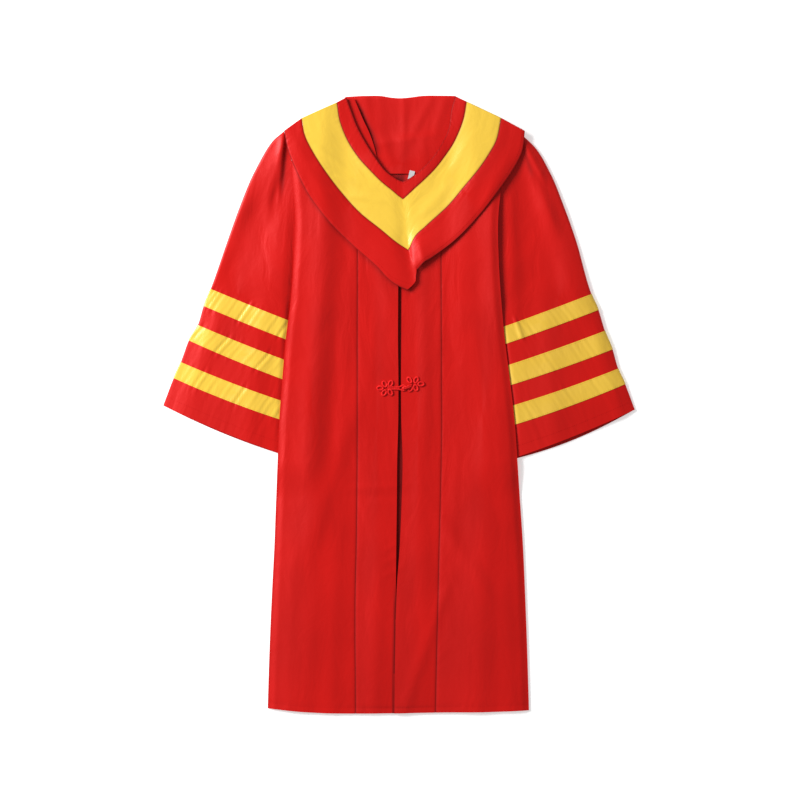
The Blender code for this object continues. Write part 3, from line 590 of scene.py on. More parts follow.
half_seam = SEAM_GAP / 2
for name, left, right, width, area in (
    ("front_side_left", edge("side_left"), edge("seam_left", -half_seam), 0.17, 0.140),
    ("front_centre_left", edge("seam_left", half_seam), edge("edge_left"), 0.085, 0.070),
    ("front_centre_right", edge("edge_right"), edge("seam_right", -half_seam), 0.085, 0.068),
    ("front_side_right", edge("seam_right", half_seam), edge("side_right"), 0.17, 0.136),
):
    x, y = panel_plan(left, right, FRONT_TOP, shares_of(width, 0.0035), shares_of(1.05, 0.0040))
    z = front_surface(x, y)
    if name == "front_centre_right":
        near_edge = 1.0 - ease(0.0, LAP_REACH, x - left(y))
        z = z + LAP_LIFT * near_edge * ease(-LAP_START_Y[0], -LAP_START_Y[1], -y)
    points = np.stack((x, y, z), axis=-1)
    cloth_piece(
        f"{name}_panel", name, points, flat_uv(points), front_seams_and_painted_shade(x, y), red_satin, CLOTH)


# The sleeves: wide bells of red satin, cut in one piece each, pleated into the armhole at the shoulder and
# hemmed at the wrist. Each lies as a flattened tube on the table, its inner fold tucked under the body.
SLEEVE_FOLD_RADIUS = 0.0017
SLEEVE_HEM_BOW = 0.005
RIBBON_LIFT = 0.0013
HEM_PEEK = {"left": 0.002, "right": 0.006}
SLEEVES = {
    "left": table(
        "along outer_x outer_y inner_x inner_y",
        (0.00, -0.2054, 0.4873, -0.1554, 0.2936),
        (0.08, -0.2265, 0.4686, -0.1536, 0.2543),
        (0.20, -0.2580, 0.4150, -0.1536, 0.2186),
        (0.35, -0.2857, 0.3489, -0.1554, 0.1864),
        (0.50, -0.3080, 0.2864, -0.1571, 0.1614),
        (0.66, -0.3361, 0.2061, -0.1607, 0.1357),
        (0.72, -0.3486, 0.1757, -0.1643, 0.1018),
        (0.78, -0.3589, 0.1418, -0.1688, 0.0666),
        (0.84, -0.3750, 0.1143, -0.1714, 0.0316),
        (0.90, -0.3893, 0.0757, -0.1750, -0.0046),
        (0.95, -0.4021, 0.0471, -0.1768, -0.0380),
        (1.00, -0.4209, -0.0018, -0.1804, -0.0977),
    ),
    "right": table(
        "along outer_x outer_y inner_x inner_y",
        (0.00, 0.2161, 0.4846, 0.1500, 0.3007),
        (0.08, 0.2429, 0.4587, 0.1482, 0.2614),
        (0.20, 0.2696, 0.4141, 0.1464, 0.2221),
        (0.35, 0.2929, 0.3579, 0.1446, 0.1864),
        (0.50, 0.3170, 0.2900, 0.1464, 0.1525),
        (0.66, 0.3436, 0.1971, 0.1495, 0.1254),
        (0.72, 0.3561, 0.1686, 0.1536, 0.0955),
        (0.78, 0.3675, 0.1316, 0.1580, 0.0584),
        (0.84, 0.3811, 0.0984, 0.1634, 0.0236),
        (0.90, 0.3911, 0.0641, 0.1670, -0.0123),
        (0.95, 0.4036, 0.0364, 0.1714, -0.0463),
        (1.00, 0.4209, -0.0091, 0.1777, -0.1041),
    ),
}
SLEEVE_FOLDS = {
    "left": table(
        "x1 y1 x2 y2 left right height",
        (-0.209, 0.474, -0.229, 0.379, 0.020, 0.009, 0.0040),
        (-0.230, 0.370, -0.289, 0.245, 0.026, 0.030, -0.0030),
        (-0.210, 0.395, -0.222, 0.370, 0.008, 0.008, -0.0014),
        (-0.205, 0.301, -0.211, 0.178, 0.030, 0.014, 0.0030),
        (-0.282, 0.344, -0.321, 0.233, 0.018, 0.016, 0.0030),
        (-0.243, 0.440, -0.277, 0.356, 0.016, 0.014, 0.0024),
        (-0.305, 0.186, -0.330, 0.106, 0.021, 0.018, 0.0014),
        (-0.245, 0.151, -0.266, -0.046, 0.024, 0.020, 0.0022),
        (-0.346, 0.106, -0.370, -0.010, 0.018, 0.018, 0.0012),
        (-0.2065, 0.464, -0.213, 0.390, 0.008, 0.0032, 0.0030),
    ),
    "right": table(
        "x1 y1 x2 y2 left right height",
        (0.227, 0.460, 0.250, 0.415, 0.0045, 0.009, 0.0030),
        (0.222, 0.458, 0.263, 0.350, 0.014, 0.012, 0.0026),
        (0.238, 0.470, 0.289, 0.354, 0.0125, 0.010, 0.0022),
        (0.218, 0.360, 0.228, 0.230, 0.014, 0.024, -0.0016),
        (0.266, 0.344, 0.309, 0.204, 0.018, 0.024, 0.0030),
        (0.202, 0.338, 0.202, 0.186, 0.011, 0.014, 0.0014),
        (0.314, 0.267, 0.352, 0.133, 0.014, 0.016, 0.0018),
        (0.261, 0.151, 0.280, -0.046, 0.018, 0.021, 0.0016),
        (0.359, 0.115, 0.395, -0.006, 0.016, 0.018, 0.0016),
        (0.2085, 0.147, 0.217, 0.125, 0.003, 0.0034, 0.0026),
    ),
}
RIBBON_SPANS = {1: (0.66, 0.72), 2: (0.78, 0.84), 3: (0.90, 0.95)}
# Painted shade beside the shoulder pleats: dark pockets drawn into the sleeves' colour.
SLEEVE_PAINTED_SHADE = {
    "left": table(
        "x1 y1 x2 y2 left right height",
        (-0.2016, 0.4640, -0.2075, 0.3960, 0.0020, 0.0034, 0.45),
    ),
    "right": table(
        "x1 y1 x2 y2 left right height",
        (0.2215, 0.4560, 0.2340, 0.4200, 0.0040, 0.0025, 0.30),
    ),
}
SLEEVE_LOFT = 0.0028
SLEEVE_FLOOR = 0.0018
PUCKER_HEIGHT = {"left": 0.00110, "right": 0.00055}
SLEEVE_HEM_SHARE = 0.984
SLEEVE_HEM_PUCKER = 0.00028
FOLD_TURN = np.radians(np.linspace(-90.0, 90.0, 9))
UPPER = np.linspace(0.0, 1.0, 74)[2:-2]
UNDER = np.linspace(1.0, 0.0, 34)[1:-1]


def sleeve_folds(side, x, y):
    """Height of a sleeve's own folds. They die out under the collar, and a soft floor, as on the fronts,
    keeps the upper layer above the lower one."""
    swell = SLEEVE_FLOOR + fold_field(SLEEVE_FOLDS[side], x, y) * (1.0 - under_collar(x, y))
    return 0.5 * (swell + np.sqrt(swell**2 + FOLD_FLOOR**2)) - SLEEVE_FLOOR


def sleeve_surface(side, along):
    """Outer face of a flattened tube at the given shares of its length: a half circle round the outer fold,
    the upper layer, a half circle round the inner fold, and back under it. The upper layer rises by its
    folds and by the puckers of the ribbons' seams, and stays under the body's edge."""
    rows = SLEEVES[side]
    outer = np.stack([smooth_along(rows, "along", name, along) for name in ("outer_x", "outer_y")], axis=-1)
    inner = np.stack([smooth_along(rows, "along", name, along) for name in ("inner_x", "inner_y")], axis=-1)
    chord = inner - outer
    width = np.linalg.norm(chord, axis=1)[:, None]
    radius = SLEEVE_FOLD_RADIUS
    turn_share = radius * (1.0 - np.cos(FOLD_TURN)) / width
    turn_height = radius * (1.0 + np.sin(FOLD_TURN))
    count = len(along)
    shares = np.concatenate(
        (turn_share, np.tile(UPPER, (count, 1)), 1.0 - turn_share[:, ::-1], np.tile(UNDER, (count, 1))), axis=1)
    heights = np.concatenate(
        (turn_height, np.full(len(UPPER), 2 * radius), turn_height[::-1], np.zeros(len(UNDER))))
    on_top = np.concatenate(
        (ease(0.0, 90.0, np.degrees(FOLD_TURN)), np.ones(len(UPPER)), ease(0.0, 90.0, np.degrees(FOLD_TURN[::-1])),
         np.zeros(len(UNDER))))
    under = np.concatenate((np.zeros(len(shares[0]) - len(UNDER)), np.ones(len(UNDER))))
    plan = outer[:, None, :] + shares[:, :, None] * chord[:, None, :]
    plan[:, :, 1] -= SLEEVE_HEM_BOW * along[:, None] ** 4 * 4.0 * shares * (1.0 - shares)
    forward = np.stack((-chord[:, 1], chord[:, 0]), axis=-1) / width * (1.0 if side == "right" else -1.0)
    peek = HEM_PEEK[side] * under * np.sin(math.pi * np.clip(shares, 0, 1)) * ease(0.93, 1.0, along)[:, None]
    plan = plan + forward[:, None, :] * peek[:, :, None]

    x, y = plan[:, :, 0], plan[:, :, 1]
    lifted = RIBBON_LIFT * ease(0.50, 0.64, along) * (1.0 - ease(0.95, 1.0, along))
    run = shares * width
    near_ribbons = np.zeros(count)
    for first, last in RIBBON_SPANS.values():
        near_ribbons = np.maximum(near_ribbons, ease(first - 0.02, first, along) * (1.0 - ease(last, last + 0.02, along)))
    from_hem = (along[:, None] - SLEEVE_HEM_SHARE) / 0.020
    ripples = (
        PUCKER_HEIGHT[side] * pucker(1.35 * run + 0.16 * along[:, None], 0.9 if side == "left" else 2.6)
        * near_ribbons[:, None] + SLEEVE_HEM_PUCKER * pucker(run, 3.1) * np.exp(-from_hem**2))
    loft = SLEEVE_LOFT * ease(0.0, 0.15, shares) * (1.0 - ease(0.85, 1.0, shares))
    rise = (loft + sleeve_folds(side, x, y) + ripples) * on_top
    body_side = x - body_edge("side_left", y) if side == "left" else body_edge("side_right", y) - x
    free = back_underside(x, y) - 0.0009
    z = lifted[:, None] + heights + rise
    under_body = ease(-0.007, 0.002, body_side)
    z = np.where(on_top > 0.5, z * (1.0 - under_body) + np.minimum(z, free) * under_body, z)
    return np.stack((x, y, z), axis=-1), run


def sleeve_uv(run, along, length):
    """The cut of a tube: once round for u, with a last column that closes it, and along it for v."""
    around = np.abs(np.diff(run, axis=1))
    total = np.concatenate((np.zeros((len(run), 1)), np.cumsum(around, axis=1)), axis=1)
    total = np.concatenate((total, total[:, -1:] + 0.002), axis=1)
    return total, np.broadcast_to((along * length)[:, None], total.shape)


def grid_normals(points, outward):
    """Unit normals of a grid that is closed across its columns."""
    down_step = np.gradient(points, axis=0)
    around_step = np.roll(points, -1, axis=1) - np.roll(points, 1, axis=1)
    normal = np.cross(down_step, around_step) * outward
    return normal / np.linalg.norm(normal, axis=2, keepdims=True)


SLEEVE_LENGTH = 0.52
sleeve_along = shares_of(SLEEVE_LENGTH, 0.0042)
for side, flip in (("left", False), ("right", True)):
    points, run = sleeve_surface(side, sleeve_along)
    # Painted shade beside the pleats, on the sleeve's upper layer only.
    seam_and_painted_light_marks = fold_field(SLEEVE_PAINTED_SHADE[side], points[:, :, 0], points[:, :, 1]) * (points[:, :, 2] > 0.002)
    piece = cloth_piece(
        f"{side}_sleeve", f"sleeve_{side}", points, sleeve_uv(run, sleeve_along, SLEEVE_LENGTH), seam_and_painted_light_marks, red_satin,
        CLOTH, closed=True, flip=flip)


# The sleeve ribbons: three rings of yellow satin ribbon, 30 mm wide, sewn flat round each sleeve along both
# edges. The seams draw them up into small puckers, which they share with the sleeve below.
RIBBON_CLOTH = 0.0004
# Painted shade: the right sleeve's ribbons are drawn a little darker than the left's, as they lie in less light.
RIBBON_PAINTED_SHADE = {"left": 0.0, "right": 0.08}
for side, flip in (("left", False), ("right", True)):
    for number, (first, last) in RIBBON_SPANS.items():
        ring_along = first + (last - first) * shares_of(0.030, 0.0030, edge=0.0008)
        points, run = sleeve_surface(side, ring_along)
        outward = grid_normals(points, -1.0 if flip else 1.0)
        ring = points + 0.0003 * outward
        piece = cloth_piece(
            f"{side}_sleeve_ribbon_{number}", f"ribbon_{side}_{number}", ring,
            sleeve_uv(run, ring_along, SLEEVE_LENGTH), RIBBON_PAINTED_SHADE[side], yellow_satin, RIBBON_CLOTH,
            closed=True, flip=flip, out=True)


# The collar cape: in each arm an outer border of red satin, a band of yellow satin and an inner border of
# red, seamed edge to edge. The arms lie on the fronts, curl over the shoulders and meet below the neck.
COLLAR_SEAM_GAP = 0.0002
COLLAR_CLEARANCE = 0.0022
COLLAR_NECK_LIFT = 0.0025
COLLAR_TIP_LIFT = 0.0050
COLLAR_SIDE_LIFT = 0.0045
COLLAR_DROOP = 0.0015
CURL_REACH = 0.0038
CURL_END_HEIGHT = 0.0018
TIP_OUTLINE = table(
    "step x y",
    (0.00, 0.0166, 0.2752),
    (0.25, 0.0243, 0.2571),
    (0.48, 0.0311, 0.2400),
    (0.66, 0.0298, 0.2270),
    (0.80, 0.0292, 0.2185),
    (0.91, 0.0225, 0.2105),
    (1.00, 0.0140, 0.2035),
)
COLLAR = {
    "left": table(
        "along neck_x neck_y inner_x inner_y outer_x outer_y edge_x edge_y",
        (0.00, -0.0938, 0.5463, -0.1107, 0.5373, -0.1732, 0.5088, -0.2045, 0.4864),
        (0.15, -0.0866, 0.5257, -0.1054, 0.5043, -0.1670, 0.4775, -0.1964, 0.4489),
        (0.30, -0.0750, 0.4954, -0.0920, 0.4704, -0.1509, 0.4454, -0.1795, 0.4079),
        (0.45, -0.0598, 0.4668, -0.0732, 0.4409, -0.1286, 0.4114, -0.1554, 0.3641),
        (0.60, -0.0420, 0.4391, -0.0527, 0.4180, -0.1009, 0.3757, -0.1214, 0.3212),
        (0.75, -0.0250, 0.4168, -0.0304, 0.3957, -0.0679, 0.3400, -0.0813, 0.2820),
        (0.88, -0.0098, 0.4052, -0.0116, 0.3805, -0.0304, 0.3100, -0.0393, 0.2448),
        (0.95, -0.0009, 0.3998, -0.0014, 0.3718, -0.0036, 0.2882, -0.0107, 0.2168),
        (1.00, 0.0064, 0.3971, 0.0071, 0.3657, 0.0166, 0.2752, 0.0196, 0.2038),
    ),
    "right": table(
        "along neck_x neck_y inner_x inner_y outer_x outer_y edge_x edge_y",
        (0.00, 0.1000, 0.5480, 0.1205, 0.5382, 0.1813, 0.5096, 0.2241, 0.4864),
        (0.15, 0.0932, 0.5239, 0.1139, 0.5043, 0.1738, 0.4730, 0.2188, 0.4498),
        (0.30, 0.0893, 0.4936, 0.0991, 0.4686, 0.1616, 0.4489, 0.2009, 0.4150),
        (0.45, 0.0795, 0.4704, 0.0830, 0.4436, 0.1420, 0.4195, 0.1741, 0.3766),
        (0.60, 0.0643, 0.4454, 0.0646, 0.4198, 0.1161, 0.3882, 0.1402, 0.3337),
        (0.75, 0.0455, 0.4239, 0.0461, 0.4011, 0.0848, 0.3516, 0.0991, 0.2918),
        (0.88, 0.0277, 0.4088, 0.0271, 0.3837, 0.0464, 0.3164, 0.0571, 0.2605),
        (0.95, 0.0152, 0.4007, 0.0157, 0.3730, 0.0277, 0.2980, 0.0429, 0.2516),
        (1.00, 0.0067, 0.3971, 0.0074, 0.3657, 0.0169, 0.2752, 0.0321, 0.2391),
    ),
}
COLLAR_TIP_FOLDS = table(
    "x1 y1 x2 y2 left right height",
    (0.023, 0.283, 0.029, 0.228, 0.0035, 0.009, 0.0012),
    (0.012, 0.285, 0.024, 0.236, 0.015, 0.006, -0.0022),
    (0.006, 0.356, 0.016, 0.285, 0.012, 0.009, -0.0016),
)
COLLAR_FOLDS = {
    "left": table(
        "x1 y1 x2 y2 left right height",
        (-0.141, 0.4525, -0.109, 0.431, 0.006, 0.006, 0.0008),
        (-0.1375, 0.420, -0.096, 0.4025, 0.007, 0.007, 0.0010),
        (-0.100, 0.4025, -0.055, 0.388, 0.006, 0.006, 0.0008),
        (-0.1125, 0.379, -0.073, 0.370, 0.006, 0.005, 0.0008),
        (-0.077, 0.370, -0.0375, 0.363, 0.006, 0.005, 0.0007),
        (-0.177, 0.454, -0.1375, 0.383, 0.013, 0.013, 0.0014),
        (-0.109, 0.308, -0.048, 0.254, 0.010, 0.012, 0.0014),
    ),
    "right": table(
        "x1 y1 x2 y2 left right height",
        (0.189, 0.4275, 0.159, 0.372, 0.011, 0.011, 0.0014),
        (0.1125, 0.454, 0.0875, 0.404, 0.009, 0.009, 0.0010),
        (0.084, 0.383, 0.048, 0.347, 0.009, 0.010, 0.0010),
    ),
}
CURL_TURN = np.radians(np.linspace(90.0, 10.0, 8))
STRIPS = {
    "collar_inner_border": ("neck", "inner", 0.0, 0.2, 0.026),
    "collar_band": ("inner", "outer", 0.2, 0.6, 0.066),
    "collar_outer_border": ("outer", "edge", 0.6, 1.0, 0.040),
}


def collar_height(side, x, y, share, across):
    """Height of a collar arm's top face: it lies on the fronts in its own soft folds, lifts at the neck, at
    the tip and beside it, and droops over the sleeve. At the centre seam both arms have the mean of their folds."""
    outside = np.maximum(body_edge("side_left", y) - x, x - body_edge("side_right", y))
    neck = (1.0 - ease(0.0, 0.3, across)) * (1.0 - ease(0.7, 1.0, share))
    tip = ease(0.5, 1.0, across) * ease(0.8, 1.0, share)
    other = "right" if side == "left" else "left"
    shared = 0.5 * ease(0.84, 1.0, share)
    folds = (1.0 - shared) * fold_field(COLLAR_FOLDS[side], x, y) + shared * fold_field(COLLAR_FOLDS[other], x, y)
    folds = folds + fold_field(COLLAR_TIP_FOLDS, x, y)
    beside_tip = ease(0.3, 1.0, across) * ease(0.55, 0.84, share) * (1.0 - ease(0.93, 1.0, share)) * ease(0.010, 0.040, x)
    lifts = COLLAR_NECK_LIFT * neck + COLLAR_TIP_LIFT * tip + COLLAR_SIDE_LIFT * beside_tip
    rest = back_underside(x, y) + 3 * WALL + LAYER_GAP + FRONT_LOFT + COLLAR_CLEARANCE
    height = rest + folds + lifts - COLLAR_DROOP * ease(-0.020, 0.018, outside)
    on_sleeve = 2 * SLEEVE_FOLD_RADIUS + SLEEVE_LOFT + sleeve_folds(side, x, y)
    return np.maximum(height, np.where(outside < 0.0, front_surface(x, y), on_sleeve) + 0.0010)


def collar_strip(side, name):
    """One strip of an arm: rows run from a quarter turn over the shoulder edge to the centre seam, columns
    from the strip's inner edge to its outer one. Its long edges sink into the seams."""
    first, second, across_first, across_second, width = STRIPS[name]
    rows = COLLAR[side]
    along = np.concatenate((np.zeros(len(CURL_TURN)), shares_of(0.33, 0.0030)))
    steps = shares_of(width, 0.0028, edge=0.0010)
    start = np.stack([smooth_along(rows, "along", f"{first}_{c}", along) for c in "xy"], axis=-1)[:, None, :]
    end = np.stack([smooth_along(rows, "along", f"{second}_{c}", along) for c in "xy"], axis=-1)[:, None, :]
    length = np.linalg.norm(end - start, axis=2, keepdims=True)
    inset = COLLAR_SEAM_GAP / 2 / length * (1.0 - 2.0 * steps[None, :, None])
    plan = start + (end - start) * (steps[None, :, None] + inset)
    if name == "collar_outer_border" and side == "left":
        tip = np.stack([smooth_along(TIP_OUTLINE, "step", c, steps) for c in "xy"], axis=-1)
        plan = plan + ease(0.93, 1.0, along)[:, None, None] * (tip - plan[-1])[None, :, :]
    if side == "right":
        plan[:, :, 0] -= 0.0004 * ease(0.99, 1.0, along)[:, None]
    turn = np.concatenate((CURL_TURN, np.zeros(len(along) - len(CURL_TURN))))
    shoulder = np.array((rows["edge_x"][0] - rows["neck_x"][0], rows["edge_y"][0] - rows["neck_y"][0]))
    outward = np.array((-shoulder[1], shoulder[0])) * (1.0 if side == "left" else -1.0)
    outward = outward / np.linalg.norm(outward)
    plan = plan + outward * (CURL_REACH * np.sin(turn))[:, None, None]
    across = (across_first + (across_second - across_first) * steps)[None, :] + 0.0 * along[:, None]
    z = collar_height(side, plan[:, :, 0], plan[:, :, 1], along[:, None], across)
    at_edge = z[len(CURL_TURN)][None, :]
    lowest = CURL_END_HEIGHT + WALL + (at_edge - CURL_END_HEIGHT - WALL - 0.003) * ease(0.6, 1.0, across)
    z = np.where(turn[:, None] > 0, at_edge - (at_edge - lowest) * (1.0 - np.cos(turn))[:, None], z)
    from_inner, from_outer = steps[None, :] * length[:, :, 0], (1.0 - steps)[None, :] * length[:, :, 0]
    from_edge = np.minimum(from_inner, from_outer)
    seam_sink = 0.0003 if name == "collar_band" else 0.0007
    if name != "collar_inner_border":
        z = z - seam_sink * np.exp(-(from_inner / 0.0016) ** 2)
    else:
        z = z - 0.0002 * np.exp(-(from_inner / 0.0010) ** 2)
    if name != "collar_outer_border":
        z = z - seam_sink * np.exp(-(from_outer / 0.0016) ** 2)
    else:
        z = z - 0.0010 * np.exp(-(from_outer / 0.0030) ** 2) - 0.0003 * np.exp(-((from_outer - 0.0046) / 0.0012) ** 2)
    run = along[:, None] * 0.33
    z = z + 0.00022 * pucker(run + 0.3 * across_first, 1.3 if side == "left" else 3.9) * np.exp(-(from_edge / 0.008) ** 2)
    # Darker along every strip edge: dark seam lines where strips meet, and painted shade at the neck edge and the outer
    # edge.
    seam_and_painted_light_marks = 0.8 * np.exp(-(from_edge / 0.0012) ** 2)
    return np.concatenate((plan, z[:, :, None]), axis=2), seam_and_painted_light_marks


COLLAR_CUTS = {
    "collar_inner_border": {"flat": (0.040, 0.22), "left": 0.0045, "right": 0.0038},
    "collar_band": {"flat": (0.075, 0.30), "left": 0.0170, "right": 0.0154},
    "collar_outer_border": {"flat": (0.060, 0.36), "left": 0.0170, "right": 0.0150},
}
collar_points = {}
for side in ("left", "right"):
    for name, cut in COLLAR_CUTS.items():
        points, seam_and_painted_light_marks = collar_strip(side, name)
        collar_points[side, name] = points[len(CURL_TURN):]
        band = name == "collar_band"
        # The band's attribute is lowered by 0.10: painted sheen, which draws the yellow band lighter, up to the lit
        # colour.
        piece = cloth_piece(
            f"{side}_{name}", f"{name}_{side}", points, flat_uv(points), seam_and_painted_light_marks - (0.10 if band else 0.0),
            yellow_satin if band else red_satin, CLOTH, flip=side == "left")


# The collar's back: one piece of red satin. Its inside shows in the neck, gathered softly; at the top edge
# it folds over and hangs plainly behind, between the back panel and the table.
NECK_LAYER = table(
    "y left right height",
    (0.4114, -0.0176, 0.0304, 0.0055),
    (0.4257, -0.0390, 0.0518, 0.0055),
    (0.4436, -0.0550, 0.0700, 0.0055),
    (0.4632, -0.0675, 0.0800, 0.0055),
    (0.4864, -0.0790, 0.0870, 0.0034),
    (0.5114, -0.0870, 0.0985, 0.0030),
    (0.5329, -0.0925, 0.0990, 0.0034),
)
HANGING_LAYER = table(
    "y left right",
    (0.5329, -0.1232, 0.1339),
    (0.5168, -0.1500, 0.1620),
    (0.4936, -0.1750, 0.1850),
    (0.4632, -0.1800, 0.1850),
    (0.4186, -0.1700, 0.1720),
    (0.3739, -0.1450, 0.1480),
    (0.3382, -0.1040, 0.1080),
    (0.3079, -0.0480, 0.0550),
)
TOP_FOLD = {"y": 0.5436, "left": -0.0960, "right": 0.1010, "reach": 0.0071, "height": 0.0040}
TOP_LINE = table(
    "x y",
    (-0.0964, 0.5489),
    (-0.0607, 0.5507),
    (-0.0286, 0.5502),
    (-0.0161, 0.5480),
    (0.0018, 0.5466),
    (0.0232, 0.5484),
    (0.0375, 0.5504),
    (0.0732, 0.5511),
    (0.1010, 0.5507),
)
NECK_FOLDS = table(
    "x1 y1 x2 y2 left right height",
    (0.009, 0.554, 0.009, 0.483, 0.006, 0.006, 0.0008),
    (-0.036, 0.554, -0.034, 0.486, 0.010, 0.010, 0.0007),
    (0.052, 0.536, 0.023, 0.479, 0.009, 0.008, 0.0009),
    (-0.0125, 0.469, 0.055, 0.479, 0.007, 0.008, 0.0008),
    (0.003, 0.465, 0.003, 0.422, 0.009, 0.009, 0.0009),
    (0.043, 0.469, 0.043, 0.426, 0.009, 0.009, 0.0008),
    (-0.059, 0.544, -0.048, 0.472, 0.010, 0.009, 0.0010),
    (0.082, 0.544, 0.066, 0.490, 0.009, 0.009, 0.0008),
    (-0.023, 0.461, -0.0125, 0.426, 0.010, 0.009, 0.0010),
)
NECK_FACING = table(
    "y left right",
    (0.5450, -0.0960, -0.0800),
    (0.5370, -0.0940, -0.0765),
    (0.5068, -0.0838, -0.0636),
    (0.4836, -0.0735, -0.0527),
    (0.4561, -0.0575, -0.0434),
    (0.4471, -0.0530, -0.0412),
    (0.4380, -0.0480, -0.0395),
    (0.4300, -0.0440, -0.0380),
)
collar_across = shares_of(0.19, 0.0030)
neck_y = np.linspace(NECK_LAYER["y"][0], NECK_LAYER["y"][-1], 42)
neck_left, neck_right, neck_z = (smooth_along(NECK_LAYER, "y", n, neck_y)[:, None] for n in ("left", "right", "height"))
neck_x = neck_left + (neck_right - neck_left) * collar_across
neck_height = neck_z + fold_field(NECK_FOLDS, neck_x, neck_y[:, None])
fold_turn = np.radians(np.linspace(90.0, -90.0, 12))[:, None]
fold_x = TOP_FOLD["left"] + (TOP_FOLD["right"] - TOP_FOLD["left"]) * collar_across + 0.0 * fold_turn
fold_reach = smooth_along(TOP_LINE, "x", "y", fold_x) - TOP_FOLD["y"]
fold_y = TOP_FOLD["y"] + fold_reach * np.cos(fold_turn)
fold_rise = fold_field(NECK_FOLDS, fold_x, fold_y) * ease(-0.6, 1.0, np.sin(fold_turn))
fold_z = TOP_FOLD["height"] / 2 * (1.0 + np.sin(fold_turn)) + fold_rise
hanging_y = np.linspace(HANGING_LAYER["y"][0], HANGING_LAYER["y"][-1], 40)
hanging_left, hanging_right = (smooth_along(HANGING_LAYER, "y", n, hanging_y)[:, None] for n in ("left", "right"))
hanging_x = hanging_left + (hanging_right - hanging_left) * collar_across
collar_back_points = np.concatenate(
    (np.stack((neck_x, neck_y[:, None] + 0.0 * neck_x, neck_height), axis=-1),
     np.stack((fold_x, fold_y, fold_z), axis=-1),
     np.stack((hanging_x, hanging_y[:, None] + 0.0 * hanging_x, 0.0 * hanging_x), axis=-1)))
beside_facing = collar_back_points[:, :, 0] - smooth_along(NECK_FACING, "y", "right", collar_back_points[:, :, 1])
# Painted shadow: the neck's inside goes dark just right of the facing, where the facing's edge would shade it.
painted_facing_shadow = 0.75 * np.exp(-((beside_facing - 0.001) / 0.0065) ** 2) * (collar_back_points[:, :, 2] > 0.002)
painted_facing_shadow = painted_facing_shadow * ease(0.44, 0.46, collar_back_points[:, :, 1]) * (1.0 - ease(0.520, 0.540, collar_back_points[:, :, 1]))
collar_back = cloth_piece(
    "collar_back_inside", "collar_back", collar_back_points, flat_uv(collar_back_points), painted_facing_shadow, red_satin,
    CLOTH, flip=True)


# The neck facing: a narrow strip of red satin that finishes the left edge of the neck on the inside.
facing_across = np.linspace(0.0, 1.0, 10)
facing_y = np.linspace(NECK_FACING["y"][0], NECK_FACING["y"][-1], 40)[:, None]
facing_left, facing_right = (smooth_along(NECK_FACING, "y", n, facing_y) for n in ("left", "right"))
facing_x = facing_left + (facing_right - facing_left) * facing_across
below_facing = smooth_along(NECK_LAYER, "y", "height", facing_y) + fold_field(NECK_FOLDS, facing_x, facing_y)
facing_z = np.maximum(below_facing.max(axis=1, keepdims=True) + 0.0009, 0.0086) - 0.0005 * facing_across
facing_points = np.stack((facing_x, facing_y + 0.0 * facing_x, facing_z), axis=-1)
facing = cloth_piece(
    "neck_facing_strip", "neck_facing_left", facing_points, flat_uv(facing_points), 0.0, red_satin, CLOTH)


# The neck label: a small white woven label, sewn into the back of the neck and left blank here.
LABEL_CENTRE = (0.0220, 0.4085)
LABEL_SIZE = (0.0095, 0.0160)
LABEL_TURN = math.radians(-14)
white_label = satin(
    "white_label_weave", shade=(0.20, 0.18, 0.18, 1.0), lit=(0.60, 0.58, 0.59, 1.0), roughness=0.70, wrinkles=300.0,
    wrinkle_depth=0.0004, tint=(1.0, 1.0, 1.0, 1.0), shine=0.3, sheen=0.0)
label_u, label_v = np.meshgrid(np.linspace(-0.5, 0.5, 8), np.linspace(0.5, -0.5, 10))
label_x = label_u * LABEL_SIZE[0]
label_y = label_v * LABEL_SIZE[1]
label_plan_x = LABEL_CENTRE[0] + label_x * math.cos(LABEL_TURN) - label_y * math.sin(LABEL_TURN)
label_plan_y = LABEL_CENTRE[1] + label_x * math.sin(LABEL_TURN) + label_y * math.cos(LABEL_TURN)
label_z = smooth_along(NECK_LAYER, "y", "height", label_plan_y) + fold_field(NECK_FOLDS, label_plan_x, label_plan_y) + 0.0012
label_points = np.stack((label_plan_x, label_plan_y, label_z), axis=-1)
label = cloth_piece(
    "blank_neck_label", "neck_label", label_points, flat_uv(label_points), 0.0, white_label, 0.0008)


# The knot closure: 3.4 mm twisted red cord. Each half is five petals, sewn down on its front; a doubled
# cord from the left half ends in a loop, and the right half carries the knot that the loop holds.
CORD_RADIUS = 0.0017
TWIST_PITCH = 0.0042
KNOB_CENTRE = (0.0088, 0.0295)
KNOB_RADIUS = 0.0034
RING_RADIUS = 0.0047
CORD_SINK = 0.7
LOOP_MIDDLE = (-0.0225, 0.0288)
KNOB_MIDDLE = (0.0270, 0.0362)
LOOP_PETALS = table(
    "x y from_x from_y",
    (-0.0336, 0.0289, -0.0225, 0.0288),
    (-0.0255, 0.0362, -0.0215, 0.0288),
    (-0.0149, 0.0372, -0.0190, 0.0288),
    (-0.0262, 0.0208, -0.0215, 0.0288),
    (-0.0152, 0.0214, -0.0190, 0.0288),
)
KNOB_PETALS = table(
    "x y from_x from_y",
    (0.0395, 0.0364, 0.0270, 0.0362),
    (0.0308, 0.0436, 0.0270, 0.0362),
    (0.0188, 0.0433, 0.0240, 0.0352),
    (0.0300, 0.0296, 0.0270, 0.0362),
    (0.0206, 0.0283, 0.0240, 0.0352),
)


